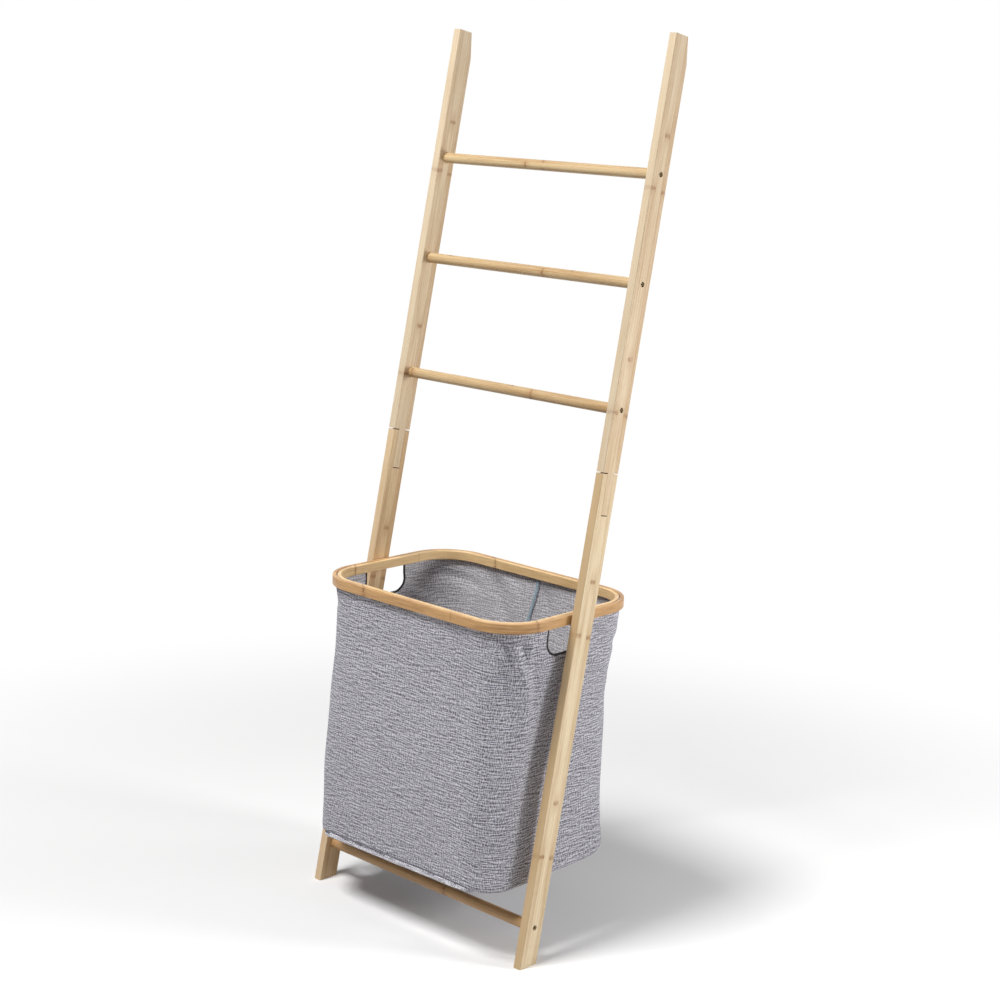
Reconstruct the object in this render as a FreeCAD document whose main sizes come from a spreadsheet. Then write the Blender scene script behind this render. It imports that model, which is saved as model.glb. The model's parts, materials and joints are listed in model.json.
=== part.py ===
"""A towel ladder that leans on a wall and carries a lift-off laundry basket. Lengths are in millimetres.

The ladder stands on the floor at z = 0 and leans back along +Y; +X runs along the rungs. The origin lies on
the floor, under the middle of the room that the object takes up between the basket's front and the wall.
Two rails, each an upper and a lower piece joined by a tongue in an open slot, hold four round rungs. Pegs in
the lower rails carry a rim of two bent bands, and the bag's cloth is clamped between the bands.
"""
import FreeCAD, Part
import os
import Sketcher

SIZES = (
    # The ladder's frame
    ("overall_width", 545, "outer face of one rail to outer face of the other"),
    ("rail_thickness", 17, "rail's size along X"),
    ("rail_depth", 43, "rail's size from front to back, square to its length"),
    ("rail_length", 1680, "along the rail's front edge, from the floor to the top"),
    ("lean_angle", 10.5, "degrees from upright, so that the foot is cut level and the top's back upright"),
    ("wall_cut", 10.4, "wood taken off the back at the top, where the rail rests on the wall"),
    ("edge_round", 2, "radius along the rail's long edges"),
    # The joint between a lower and an upper rail
    ("joint_place", 895, "along the rail, from the floor to the lower rail's end"),
    ("tongue_width", 17, "upper rail's tongue, from front to back"),
    ("tongue_length", 75.8, "upper rail's tongue, along the rail"),
    ("tongue_side_gap", 0.3, "on each side of the tongue in its slot"),
    ("tongue_end_gap", 1.8, "between the tongue's end and the slot's floor"),
    ("shoulder_gap", 2, "between the two rails' shoulders"),
    # The rungs, by their places along the rail
    ("rung_diameter", 20, "all four rungs"),
    ("rung_socket_depth", 5, "how far a rung's end goes into the rail"),
    ("rung_socket_gap", 0.1, "around a rung in its socket"),
    ("base_rung_place", 75, "from the floor to the base rung's axis"),
    ("lower_towel_rung_rise", 115, "from the lower rail's end up to the lower towel rung's axis"),
    ("top_towel_rung_drop", 248, "from the rail's top down to the top towel rung's axis"),
    ("middle_towel_rung_share", 0.53436, "of the way from the lower to the top towel rung"),
    # The screws that hold the rungs
    ("screw_head_diameter", 9, "round head"),
    ("screw_head_height", 3, "round head"),
    ("screw_recess", 3, "from the rail's outer face down to the head"),
    ("screw_shank_diameter", 4.8, "shank in the rail and the rung"),
    ("screw_shank_length", 40, "below the head"),
    ("screw_gap", 0.1, "around the shank"),
    ("screw_head_gap", 0.45, "around the head"),
    ("screw_socket_diameter", 4.4, "across the corners of the six-sided socket in the head"),
    ("screw_socket_depth", 1.8, "depth of that socket"),
    # The pegs that carry the rim
    ("peg_diameter", 6, "steel peg"),
    ("peg_spacing", 24, "between the two pegs of a rail, on one level"),
    ("peg_reach", 7, "out of the rail's inner face"),
    ("peg_seat_depth", 11, "into the rail"),
    ("peg_gap", 0.05, "around a peg in the rail"),
    ("peg_end_cut", 0.8, "bevel on the peg's free end"),
    ("notch_depth", 2, "of the notch over each peg, in the rim's lower edge"),
    ("notch_gap", 0.3, "between a peg and its notch"),
    # The rim
    ("rim_top_height", 627, "floor to the rim's top"),
    ("rim_depth", 365, "outside, from front to back"),
    ("rim_rail_gap", 2, "between the rim and each rail"),
    ("rim_setback", 6, "rim's middle behind the rails' middle"),
    ("rim_corner_radius", 90, "outside"),
    ("band_height", 18, "both bands"),
    ("band_thickness", 7.5, "both bands"),
    ("band_round", 1.6, "radius along the bands' edges"),
    ("band_joint_gap", 0.6, "between a band's two ends"),
    ("outer_joint_offset", 109, "along X, from the middle of the front to the outer band's ends"),
    ("inner_joint_offset", 84, "along Y, from the middle of the left side to the inner band's ends"),
    # The bag
    ("cloth_thickness", 1.5, "all of the bag's cloth"),
    ("cloth_gap", 0.15, "between the cloth and what it lies on"),
    ("cloth_tuck", 2, "from the rim's top down to the cloth's edge between the bands"),
    ("bag_bottom_height", 131, "floor to the bag's underside"),
    ("bag_bottom_corner", 60, "bag's corner radius at the bottom, sharper than at the rim"),
    ("handle_width", 100, "hand hole"),
    ("handle_height", 50, "hand hole, below the rim"),
    ("handle_corner", 26, "hand hole's lower corners"),
    ("right_handle_shift", -23, "along Y, from the middle of the right side to its hand hole"),
    ("handle_top_gap", 0.4, "between the rim and the hand hole's tape"),
    ("tape_width", 4, "tape folded over the hand hole's edge"),
    ("tape_thickness", 0.8, "that tape"),
    ("board_thickness", 3, "stiff board in the bag's bottom"),
    ("board_gap", 15, "between the board and the bag's walls"),
    ("piping_height", 4, "round the bag's lower edge"),
    ("piping_thickness", 2.2, "out from the bag's wall"),
    ("seam_width", 9, "seam allowance inside the bag's back"),
    ("seam_thickness", 1.2, "that seam allowance"),
    ("seam_offset", -10, "along X, from the middle of the back"),
    # Used by every cut that has to pass right through
    ("overrun", 5, "how far a cut passes its piece"),
)

# Places worked out from the sizes. Those along Y are counted from the front of the feet.
PLACES = (
    ("lean_sine", "sin(Sizes.lean_angle)"),
    ("lean_cosine", "cos(Sizes.lean_angle)"),
    ("lean_tangent", "tan(Sizes.lean_angle)"),
    ("rail_middle", "Sizes.rail_depth / 2"),
    ("inner_face", "Sizes.overall_width / 2 - Sizes.rail_thickness"),
    ("rail_axis", "Sizes.overall_width / 2 - Sizes.rail_thickness / 2"),
    ("wall_cut_length", "Sizes.wall_cut / Places.lean_tangent"),
    ("wall_y", "(Sizes.rail_length - Places.wall_cut_length) * Places.lean_sine"
               " + Sizes.rail_depth * Places.lean_cosine"),
    ("upper_shoulder", "Sizes.joint_place + Sizes.shoulder_gap"),
    ("tongue_end", "Places.upper_shoulder - Sizes.tongue_length"),
    ("slot_floor", "Places.tongue_end - Sizes.tongue_end_gap"),
    ("lower_towel_rung_place", "Sizes.joint_place + Sizes.lower_towel_rung_rise"),
    ("top_towel_rung_place", "Sizes.rail_length - Sizes.top_towel_rung_drop"),
    ("middle_towel_rung_place", "Places.lower_towel_rung_place + Sizes.middle_towel_rung_share"
                                " * (Places.top_towel_rung_place - Places.lower_towel_rung_place)"),
    ("rung_half", "Places.inner_face + Sizes.rung_socket_depth"),
    ("screw_in_rung", "Sizes.screw_recess + Sizes.screw_head_height + Sizes.screw_shank_length"
                      " - Sizes.rail_thickness + Sizes.rung_socket_depth"),
    ("rim_bottom", "Sizes.rim_top_height - Sizes.band_height"),
    ("peg_height", "Places.rim_bottom + Sizes.notch_depth - Sizes.notch_gap - Sizes.peg_diameter / 2"),
    ("peg_place", "(Places.peg_height + Places.rail_middle * Places.lean_sine) / Places.lean_cosine"),
    ("peg_y", "Places.peg_place * Places.lean_sine + Places.rail_middle * Places.lean_cosine"),
    ("rim_y", "Places.peg_y + Sizes.rim_setback"),
    ("rim_width", "2 * (Places.inner_face - Sizes.rim_rail_gap)"),
    ("cloth_inset", "Sizes.band_thickness + Sizes.cloth_gap"),
    ("inner_band_inset", "Places.cloth_inset + Sizes.cloth_thickness + Sizes.cloth_gap"),
    ("board_inset", "Places.cloth_inset + Sizes.cloth_thickness + Sizes.board_gap"),
    ("piping_inset", "Places.cloth_inset - Sizes.cloth_gap - Sizes.piping_thickness"),
    ("bottom_corner", "Sizes.bag_bottom_corner + Places.cloth_inset"),
    ("cloth_middle", "Places.rim_width / 2 - Places.cloth_inset - Sizes.cloth_thickness / 2"),
    ("bag_floor", "Sizes.bag_bottom_height + Sizes.cloth_thickness"),
    ("handle_top", "Places.rim_bottom - Sizes.handle_top_gap"),
    ("handle_bottom", "Places.rim_bottom - Sizes.handle_height"),
    ("origin_y", "(Places.rim_y - Sizes.rim_depth / 2 + Places.wall_y) / 2"),
)

SIDES = (("left", -1), ("right", 1))

# How far each hand hole lies from the middle of its side, along Y
HANDLE_SHIFTS = {"left": "0", "right": "Sizes.right_handle_shift"}

# How near two places must be to count as one
SAME_PLACE = 0.001

doc = FreeCAD.newDocument("towel_ladder")
sheet = doc.addObject("Spreadsheet::Sheet", "Sizes")
for row, (alias, value, note) in enumerate(SIZES, start=1):
    sheet.set(f"A{row}", alias)
    sheet.set(f"B{row}", str(value))
    sheet.set(f"C{row}", note)
    sheet.setAlias(f"B{row}", alias)
doc.recompute()

places = doc.addObject("App::VarSet", "Places")
for name, expression in PLACES:
    places.addProperty("App::PropertyFloat", name, "Places")
    places.setExpression(name, expression)
    doc.recompute()


def value_of(expression):
    """The number that an expression gives now."""
    return float(places.evalExpression(expression))


def bind(thing, **expressions):
    """Binds properties to expressions; two underscores in a name stand for a dot."""
    for name, expression in expressions.items():
        thing.setExpression(name.replace("__", "."), expression)


def set_place(thing, x="0", y="0", z="0", axis=(0, 0, 1), angle="0"):
    """Binds a piece's place, with y counted from the front of the feet, and its turn about an axis."""
    thing.Placement = FreeCAD.Placement(
        FreeCAD.Vector(), FreeCAD.Rotation(FreeCAD.Vector(*axis), value_of(angle))
    )
    bind(thing, Placement__Base__x=x, Placement__Base__y=f"{y} - Places.origin_y", Placement__Base__z=z)
    if angle != "0":
        bind(thing, Placement__Rotation__Angle=angle)


def new_body(label):
    """An empty body with a label."""
    body = doc.addObject("PartDesign::Body", label)
    body.Label = label
    return body


def new_sketch(body, name, role, offset="0"):
    """A sketch on one of the body's own planes, moved along the plane's normal."""
    sketch = body.newObject("Sketcher::SketchObject", f"{body.Label}_{name}")
    plane = next(feature for feature in body.Origin.OriginFeatures if feature.Role == role)
    sketch.AttachmentSupport = [(plane, "")]
    sketch.MapMode = "FlatFace"
    if offset != "0":
        sketch.setExpression("AttachmentOffset.Base.z", offset)
    return sketch


def pin_point(sketch, geometry, end, x, y):
    """Ties a point of a sketch to two expressions."""
    for kind, expression in (("DistanceX", x), ("DistanceY", y)):
        constraint = Sketcher.Constraint(kind, -1, 1, geometry, end, value_of(expression))
        index = sketch.addConstraint(constraint)
        sketch.setExpression(f"Constraints[{index}]", expression)


def add_outline(sketch, corners):
    """A closed outline. A corner is (x, y), or (x, y, radius) where its two sides run along the axes."""
    count = len(corners)
    spots = [(value_of(corner[0]), value_of(corner[1])) for corner in corners]
    ends = []
    for index, corner in enumerate(corners):
        if len(corner) == 2:
            ends.append((corner, corner))
            continue
        x, y, radius = corner
        turn = []
        for other in (spots[index - 1], spots[(index + 1) % count]):
            along = FreeCAD.Vector(other[0] - spots[index][0], other[1] - spots[index][1]).normalize()
            turn.append((f"({x}) + ({radius}) * {round(along.x)}", f"({y}) + ({radius}) * {round(along.y)}"))
        ends.append(tuple(turn))
    lines = []
    for index in range(count):
        first = ends[index][1]
        second = ends[(index + 1) % count][0]
        start = FreeCAD.Vector(value_of(first[0]), value_of(first[1]))
        stop = FreeCAD.Vector(value_of(second[0]), value_of(second[1]))
        line = sketch.addGeometry(Part.LineSegment(start, stop), False)
        pin_point(sketch, line, 1, *first)
        lines.append(line)
    for index, corner in enumerate(corners):
        before, after = lines[index - 1], lines[index]
        if len(corner) == 2:
            sketch.addConstraint(Sketcher.Constraint("Coincident", before, 2, after, 1))
            continue
        pin_point(sketch, before, 2, *ends[index][0])
        add_corner_arc(sketch, before, after, spots[index], corner[2])


def add_corner_arc(sketch, before, after, corner, radius):
    """An arc that rounds the corner between two lines of a sketch, drawn anticlockwise."""
    corner = FreeCAD.Vector(*corner)
    start = sketch.Geometry[before].EndPoint
    stop = sketch.Geometry[after].StartPoint
    centre = start + stop - corner
    middle = centre + (corner - centre).normalize() * value_of(radius)
    if (corner - start).cross(stop - corner).z > 0:
        curve = Part.Arc(start, middle, stop)
        near, far = 1, 2
    else:
        curve = Part.Arc(stop, middle, start)
        near, far = 2, 1
    arc = sketch.addGeometry(curve, False)
    sketch.addConstraint(Sketcher.Constraint("Coincident", arc, near, before, 2))
    sketch.addConstraint(Sketcher.Constraint("Coincident", arc, far, after, 1))
    index = sketch.addConstraint(Sketcher.Constraint("Radius", arc, value_of(radius)))
    sketch.setExpression(f"Constraints[{index}]", radius)


def add_circle(sketch, x, y, radius):
    """A circle in a sketch."""
    centre = FreeCAD.Vector(value_of(x), value_of(y))
    circle = sketch.addGeometry(Part.Circle(centre, FreeCAD.Vector(0, 0, 1), value_of(radius)), False)
    pin_point(sketch, circle, 3, x, y)
    index = sketch.addConstraint(Sketcher.Constraint("Radius", circle, value_of(radius)))
    sketch.setExpression(f"Constraints[{index}]", radius)


def add_pad(body, sketch, length, centred=False):
    """A solid pushed out of a sketch."""
    pad = body.newObject("PartDesign::Pad", f"{sketch.Name}_pad")
    pad.Profile = sketch
    pad.Midplane = centred
    bind(pad, Length=length)
    doc.recompute()
    return pad


def add_pocket(body, sketch, length=None, towards=0):
    """A cut from a sketch, 1 or -1 along its normal or 0 for both ways, right through with no length."""
    before = body.Shape.Volume
    pocket = body.newObject("PartDesign::Pocket", f"{sketch.Name}_pocket")
    pocket.Profile = sketch
    pocket.Midplane = towards == 0
    pocket.Reversed = towards == 1
    if length is None:
        pocket.Type = "ThroughAll"
    else:
        bind(pocket, Length=length)
    doc.recompute()
    if not body.Shape.Volume < before:
        raise RuntimeError(f"{pocket.Name} cuts nothing")
    return pocket


def add_rounding(body, feature, radius, chosen):
    """Rounds those edges of a feature that a test picks."""
    names = [f"Edge{number}" for number, edge in enumerate(feature.Shape.Edges, start=1) if chosen(edge)]
    fillet = body.newObject("PartDesign::Fillet", f"{feature.Name}_round")
    fillet.Base = (feature, names)
    bind(fillet, Radius=radius)
    doc.recompute()
    return fillet


def lies_at(edge, axis, places_wanted):
    """Whether an edge lies flat at one of some places along an axis."""
    spots = [getattr(vertex.Point, axis) for vertex in edge.Vertexes]
    return any(all(abs(spot - place) < SAME_PLACE for spot in spots) for place in places_wanted)


# Rails: each is drawn from the side, depth to the right and length up, then tilted back

def rail_body(label, side, corners):
    """A rail from its side outline, with its long outer edges rounded."""
    body = new_body(label)
    sketch = new_sketch(body, "outline", "YZ_Plane")
    add_outline(sketch, corners)
    pad = add_pad(body, sketch, "Sizes.rail_thickness", centred=True)
    depth = value_of("Sizes.rail_depth")
    half = value_of("Sizes.rail_thickness") / 2
    add_rounding(
        body, pad, "Sizes.edge_round",
        lambda edge: lies_at(edge, "y", (0, depth)) and lies_at(edge, "x", (-half, half)),
    )
    set_place(body, x=f"{side} * Places.rail_axis", axis=(-1, 0, 0), angle="Sizes.lean_angle")
    return body


def drill_rail(body, name, side, spots, radius, depth, outside=False):
    """Round blind holes in a rail's inner or outer face, at (depth, length) spots on its side."""
    way = side if outside else -side
    sketch = new_sketch(body, name, "YZ_Plane", f"{way} * (Sizes.rail_thickness / 2 - {depth})")
    for spot in spots:
        add_circle(sketch, *spot, radius)
    add_pocket(body, sketch, towards=way)


def fit_rungs(body, side, rung_places):
    """Sockets for rungs in a rail, with the holes for their screws."""
    spots = [("Places.rail_middle", place) for place in rung_places]
    drill_rail(
        body, "sockets", side, spots,
        "Sizes.rung_diameter / 2 + Sizes.rung_socket_gap", "Sizes.rung_socket_depth",
    )
    drill_rail(
        body, "head_recesses", side, spots,
        "Sizes.screw_head_diameter / 2 + Sizes.screw_head_gap",
        "(Sizes.screw_recess + Sizes.screw_head_height)", outside=True,
    )
    sketch = new_sketch(body, "screw_holes", "YZ_Plane")
    for spot in spots:
        add_circle(sketch, *spot, "Sizes.screw_shank_diameter / 2 + Sizes.screw_gap")
    add_pocket(body, sketch)


def peg_spots():
    """The two pegs of a rail on its side, on one level once the rail leans."""
    half = "Sizes.peg_spacing / 2"
    return [
        (
            f"Places.rail_middle + {sign} * {half} * Places.lean_cosine",
            f"Places.peg_place + {sign} * {half} * Places.lean_sine",
        )
        for sign in (-1, 1)
    ]


def lower_rail(name, side):
    """A lower rail: level foot, open slot at the top, base rung socket and peg holes."""
    slot_front = "(Sizes.rail_depth - Sizes.tongue_width) / 2 - Sizes.tongue_side_gap"
    slot_back = "(Sizes.rail_depth + Sizes.tongue_width) / 2 + Sizes.tongue_side_gap"
    body = rail_body(f"lower_rail_{name}", side, (
        ("0", "0"),
        ("Sizes.rail_depth", "Sizes.rail_depth * Places.lean_tangent"),
        ("Sizes.rail_depth", "Sizes.joint_place"),
        (slot_back, "Sizes.joint_place"),
        (slot_back, "Places.slot_floor"),
        (slot_front, "Places.slot_floor"),
        (slot_front, "Sizes.joint_place"),
        ("0", "Sizes.joint_place"),
    ))
    fit_rungs(body, side, ("Sizes.base_rung_place",))
    drill_rail(
        body, "peg_holes", side, peg_spots(),
        "Sizes.peg_diameter / 2 + Sizes.peg_gap", "Sizes.peg_seat_depth",
    )
    return body


def upper_rail(name, side):
    """An upper rail: tongue at the bottom, square top, and an upright cut at the back for the wall."""
    tongue_front = "(Sizes.rail_depth - Sizes.tongue_width) / 2"
    tongue_back = "(Sizes.rail_depth + Sizes.tongue_width) / 2"
    body = rail_body(f"upper_rail_{name}", side, (
        ("0", "Places.upper_shoulder"),
        (tongue_front, "Places.upper_shoulder"),
        (tongue_front, "Places.tongue_end"),
        (tongue_back, "Places.tongue_end"),
        (tongue_back, "Places.upper_shoulder"),
        ("Sizes.rail_depth", "Places.upper_shoulder"),
        ("Sizes.rail_depth", "Sizes.rail_length - Places.wall_cut_length"),
        ("Sizes.rail_depth - Sizes.wall_cut", "Sizes.rail_length"),
        ("0", "Sizes.rail_length"),
    ))
    fit_rungs(body, side, (
        "Places.lower_towel_rung_place", "Places.middle_towel_rung_place", "Places.top_towel_rung_place",
    ))
    return body


# Rungs, screws and pegs: turned round pieces along X

def on_rail(place):
    """The y and z of a place along the rail's middle."""
    y = f"{place} * Places.lean_sine + Places.rail_middle * Places.lean_cosine"
    z = f"{place} * Places.lean_cosine - Places.rail_middle * Places.lean_sine"
    return y, z


def cylinder(label, radius, height, z="0"):
    """A cylinder along Z that starts at a height."""
    shape = doc.addObject("Part::Cylinder", label)
    bind(shape, Radius=radius, Height=height, Placement__Base__z=z)
    return shape


def joined(kind, label, base, tool):
    """A boolean of two objects."""
    result = doc.addObject(kind, label)
    result.Base = base
    result.Tool = tool
    return result


def rung(label, place):
    """A round rung, drilled at both ends for its screws."""
    bar = cylinder(f"{label}_bar", "Sizes.rung_diameter / 2", "2 * Places.rung_half")
    for end, start in (
        ("first", "-Sizes.overrun"),
        ("second", "2 * Places.rung_half - Places.screw_in_rung - Sizes.screw_gap"),
    ):
        hole = cylinder(
            f"{label}_{end}_hole", "Sizes.screw_shank_diameter / 2 + Sizes.screw_gap",
            "Places.screw_in_rung + Sizes.screw_gap + Sizes.overrun", start,
        )
        bar = joined("Part::Cut", f"{label}_{end}_cut", bar, hole)
    bar.Label = label
    y, z = on_rail(place)
    set_place(bar, "-Places.rung_half", y, z, axis=(0, 1, 0), angle="90")
    return bar


def screw(label, side, place):
    """A screw with a six-sided socket, pointing inwards from a rail's outer face."""
    head = cylinder(f"{label}_head", "Sizes.screw_head_diameter / 2", "Sizes.screw_head_height")
    shank = cylinder(
        f"{label}_shank", "Sizes.screw_shank_diameter / 2",
        "Sizes.screw_shank_length + Sizes.screw_head_height / 2", "Sizes.screw_head_height / 2",
    )
    whole = joined("Part::Fuse", f"{label}_whole", head, shank)
    socket = doc.addObject("Part::Prism", f"{label}_socket")
    bind(
        socket, Circumradius="Sizes.screw_socket_diameter / 2",
        Height="Sizes.screw_socket_depth + Sizes.overrun", Placement__Base__z="-Sizes.overrun",
    )
    made = joined("Part::Cut", label, whole, socket)
    y, z = on_rail(place)
    x = f"{side} * (Sizes.overall_width / 2 - Sizes.screw_recess)"
    set_place(made, x, y, z, axis=(0, -side, 0), angle="90")
    return made


def peg(label, side, sign):
    """A steel peg in a rail's inner face, bevelled at its free end."""
    body = new_body(label)
    sketch = new_sketch(body, "outline", "XZ_Plane")
    radius = "Sizes.peg_diameter / 2"
    length = "Sizes.peg_seat_depth + Sizes.peg_reach"
    add_outline(sketch, (
        ("0", "0"), (radius, "0"), (radius, f"{length} - Sizes.peg_end_cut"),
        (f"{radius} - Sizes.peg_end_cut", length), ("0", length),
    ))
    turned = body.newObject("PartDesign::Revolution", f"{label}_turned")
    turned.Profile = sketch
    turned.ReferenceAxis = (sketch, ["V_Axis"])
    x = f"{side} * (Places.inner_face + Sizes.peg_seat_depth)"
    y = f"Places.peg_y + {sign} * Sizes.peg_spacing / 2"
    set_place(body, x, y, "Places.peg_height", axis=(0, -side, 0), angle="90")
    return body


def group(label, pieces):
    """Separate solids kept together as one piece."""
    compound = doc.addObject("Part::Compound", label)
    compound.Label = label
    compound.Links = pieces
    return compound


# Rim and bag: rounded outlines seen from above, each a set distance in from the rim's outer face

def rounded_outline(sketch, inset, corner="Sizes.rim_corner_radius"):
    """The rim's outline, a distance further in, with a corner radius meant at the rim's face."""
    x = f"(Places.rim_width / 2 - ({inset}))"
    y = f"(Sizes.rim_depth / 2 - ({inset}))"
    radius = f"{corner} - ({inset})"
    add_outline(sketch, (
        (f"-{x}", f"-{y}", radius), (x, f"-{y}", radius), (x, y, radius), (f"-{x}", y, radius),
    ))


def basket_piece(label, bottom, top, inset, wall=None, corner="Sizes.rim_corner_radius"):
    """A plate, or with a wall's thickness a hoop, that follows the rim's outline between two heights."""
    body = new_body(label)
    sketch = new_sketch(body, "outline", "XY_Plane")
    rounded_outline(sketch, inset, corner)
    if wall:
        rounded_outline(sketch, f"{inset} + {wall}", corner)
    add_pad(body, sketch, f"{top} - ({bottom})")
    set_place(body, y="Places.rim_y", z=bottom)
    return body


def rim_band(label, inset):
    """A bent band with its edges rounded."""
    body = basket_piece(label, "Places.rim_bottom", "Sizes.rim_top_height", inset, "Sizes.band_thickness")
    height = value_of("Sizes.band_height")
    add_rounding(body, body.Tip, "Sizes.band_round", lambda edge: lies_at(edge, "z", (0, height)))
    return body


def part_band(body, x, y):
    """Opens a band where its two ends meet, between two places along X and two along Y."""
    sketch = new_sketch(body, "ends", "XY_Plane")
    add_outline(sketch, ((x[0], y[0]), (x[1], y[0]), (x[1], y[1]), (x[0], y[1])))
    add_pocket(body, sketch)


def outer_band():
    """The outer band, with notches over the pegs and its ends meeting in the front."""
    body = rim_band("rim_outer_band", "0")
    sketch = new_sketch(body, "notches", "YZ_Plane")
    for sign in (-1, 1):
        add_circle(
            sketch, f"{sign} * Sizes.peg_spacing / 2 - Sizes.rim_setback",
            "Places.peg_height - Places.rim_bottom",
            "Sizes.peg_diameter / 2 + Sizes.notch_gap",
        )
    add_pocket(body, sketch)
    half = "Sizes.band_joint_gap / 2"
    front = "-Sizes.rim_depth / 2"
    part_band(
        body,
        (f"Sizes.outer_joint_offset - {half}", f"Sizes.outer_joint_offset + {half}"),
        (f"{front} - Sizes.overrun", f"{front} + Sizes.band_thickness + Sizes.cloth_gap / 2"),
    )
    return body


def inner_band():
    """The inner band, with its ends meeting on the left."""
    body = rim_band("rim_inner_band", "Places.inner_band_inset")
    half = "Sizes.band_joint_gap / 2"
    left = "-Places.rim_width / 2 + Places.inner_band_inset"
    part_band(
        body,
        (f"{left} - Sizes.cloth_gap / 2", f"{left} + Sizes.band_thickness + Sizes.overrun"),
        (f"Sizes.inner_joint_offset - {half}", f"Sizes.inner_joint_offset + {half}"),
    )
    return body


def hand_hole_corners(grow, top, floor="0", middle="0"):
    """A hand hole's outline seen from the side, grown outwards, with z counted from a floor."""
    half = f"(Sizes.handle_width / 2 + ({grow}))"
    bottom = f"Places.handle_bottom - ({grow}) - ({floor})"
    radius = f"Sizes.handle_corner + ({grow})"
    front, back = f"{middle} - {half}", f"{middle} + {half}"
    return (
        (front, f"{top} - ({floor})"), (front, bottom, radius),
        (back, bottom, radius), (back, f"{top} - ({floor})"),
    )


def bag_sleeve():
    """The bag's wall, clamped between the bands, with a hand hole in each short side."""
    body = basket_piece(
        "bag_sleeve", "Places.rim_bottom", "Sizes.rim_top_height - Sizes.cloth_tuck",
        "Places.cloth_inset", "Sizes.cloth_thickness",
    )
    ends = (
        ("wall_bottom", "Places.bag_floor - Places.rim_bottom", "Places.bottom_corner"),
        ("wall_top", "0", "Sizes.rim_corner_radius"),
    )
    sections = []
    for name, height, corner in ends:
        sketch = new_sketch(body, name, "XY_Plane", height)
        rounded_outline(sketch, "Places.cloth_inset", corner)
        rounded_outline(sketch, "Places.cloth_inset + Sizes.cloth_thickness", corner)
        sections.append(sketch)
    wall = body.newObject("PartDesign::AdditiveLoft", "bag_sleeve_wall")
    wall.Profile = sections[0]
    wall.Sections = sections[1:]
    wall.Ruled = True
    doc.recompute()
    for name, side in SIDES:
        sketch = new_sketch(body, f"hand_hole_{name}", "YZ_Plane")
        corners = hand_hole_corners("0", "Places.handle_top", "Places.rim_bottom", HANDLE_SHIFTS[name])
        add_outline(sketch, corners)
        add_pocket(body, sketch, towards=side)
    return body


def handle_tape(name, side):
    """A tape folded over the edge of a hand hole, so that it has the cloth between its two leaves."""
    body = new_body(f"handle_tape_{name}")
    lining = "Sizes.tape_thickness + Sizes.cloth_gap"
    top = "Places.handle_top"
    sketch = new_sketch(body, "outline", "YZ_Plane")
    inside = hand_hole_corners(f"-({lining})", top)
    add_outline(sketch, hand_hole_corners("Sizes.tape_width", top) + inside[::-1])
    add_pad(body, sketch, f"Sizes.cloth_thickness + 2 * ({lining})", centred=True)
    room = new_sketch(body, "cloth_room", "YZ_Plane")
    above = f"{top} + Sizes.overrun"
    inside = hand_hole_corners("-Sizes.cloth_gap", above)
    add_outline(room, hand_hole_corners("Sizes.tape_width + Sizes.overrun", above) + inside[::-1])
    add_pocket(body, room, "Sizes.cloth_thickness + 2 * Sizes.cloth_gap")
    set_place(body, x=f"{side} * Places.cloth_middle", y=f"Places.rim_y + {HANDLE_SHIFTS[name]}")
    return body


def back_seam():
    """The seam allowance that stands inside the bag's back."""
    strip = doc.addObject("Part::Box", "bag_back_seam")
    strip.Label = "bag_back_seam"
    inside = "Sizes.rim_depth / 2 - Places.cloth_inset - Sizes.cloth_thickness - Sizes.cloth_gap"
    bottom = "Places.bag_floor + Sizes.board_thickness + Sizes.cloth_gap"
    bind(
        strip, Length="Sizes.seam_width", Width="Sizes.seam_thickness",
        Height=f"Places.rim_bottom - Sizes.cloth_gap - ({bottom})",
    )
    set_place(
        strip, "Sizes.seam_offset - Sizes.seam_width / 2",
        f"Places.rim_y + {inside} - Sizes.seam_thickness", bottom,
    )
    return strip


TOWEL_RUNGS = (
    ("top", "Places.top_towel_rung_place"),
    ("middle", "Places.middle_towel_rung_place"),
    ("lower", "Places.lower_towel_rung_place"),
)

pieces = []
for name, side in SIDES:
    pieces.append(lower_rail(name, side))
    pieces.append(upper_rail(name, side))
pieces.append(rung("base_rung", "Sizes.base_rung_place"))
for name, place in TOWEL_RUNGS:
    pieces.append(rung(f"towel_rung_{name}", place))
pieces.append(group("base_rung_screws", [
    screw(f"base_screw_{name}", side, "Sizes.base_rung_place") for name, side in SIDES
]))
pieces.append(group("towel_rung_screws", [
    screw(f"{rung_name}_screw_{name}", side, place)
    for rung_name, place in TOWEL_RUNGS for name, side in SIDES
]))
pieces.append(group("rim_rest_pegs", [
    peg(f"peg_{name}_{place}", side, sign)
    for name, side in SIDES for place, sign in (("front", -1), ("back", 1))
]))
pieces.append(outer_band())
pieces.append(inner_band())
pieces.append(bag_sleeve())
pieces.append(basket_piece(
    "bag_bottom_panel", "Sizes.bag_bottom_height", "Places.bag_floor - Sizes.cloth_gap",
    "Places.cloth_inset", corner="Places.bottom_corner",
))
pieces.append(basket_piece(
    "bag_base_board", "Places.bag_floor", "Places.bag_floor + Sizes.board_thickness",
    "Places.board_inset", corner="Places.bottom_corner",
))
pieces.append(basket_piece(
    "bag_bottom_piping", "Sizes.bag_bottom_height", "Sizes.bag_bottom_height + Sizes.piping_height",
    "Places.piping_inset", "Sizes.piping_thickness", "Places.bottom_corner",
))
for name, side in SIDES:
    pieces.append(handle_tape(name, side))
pieces.append(back_seam())
doc.recompute()

for thing in doc.Objects:
    if "Invalid" in thing.State or "Error" in thing.State:
        raise RuntimeError(f"{thing.Name} failed: {thing.State}")
for piece in pieces:
    if piece.Shape.isNull() or not piece.Shape.isValid():
        raise RuntimeError(f"{piece.Label} has no valid shape")

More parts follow.
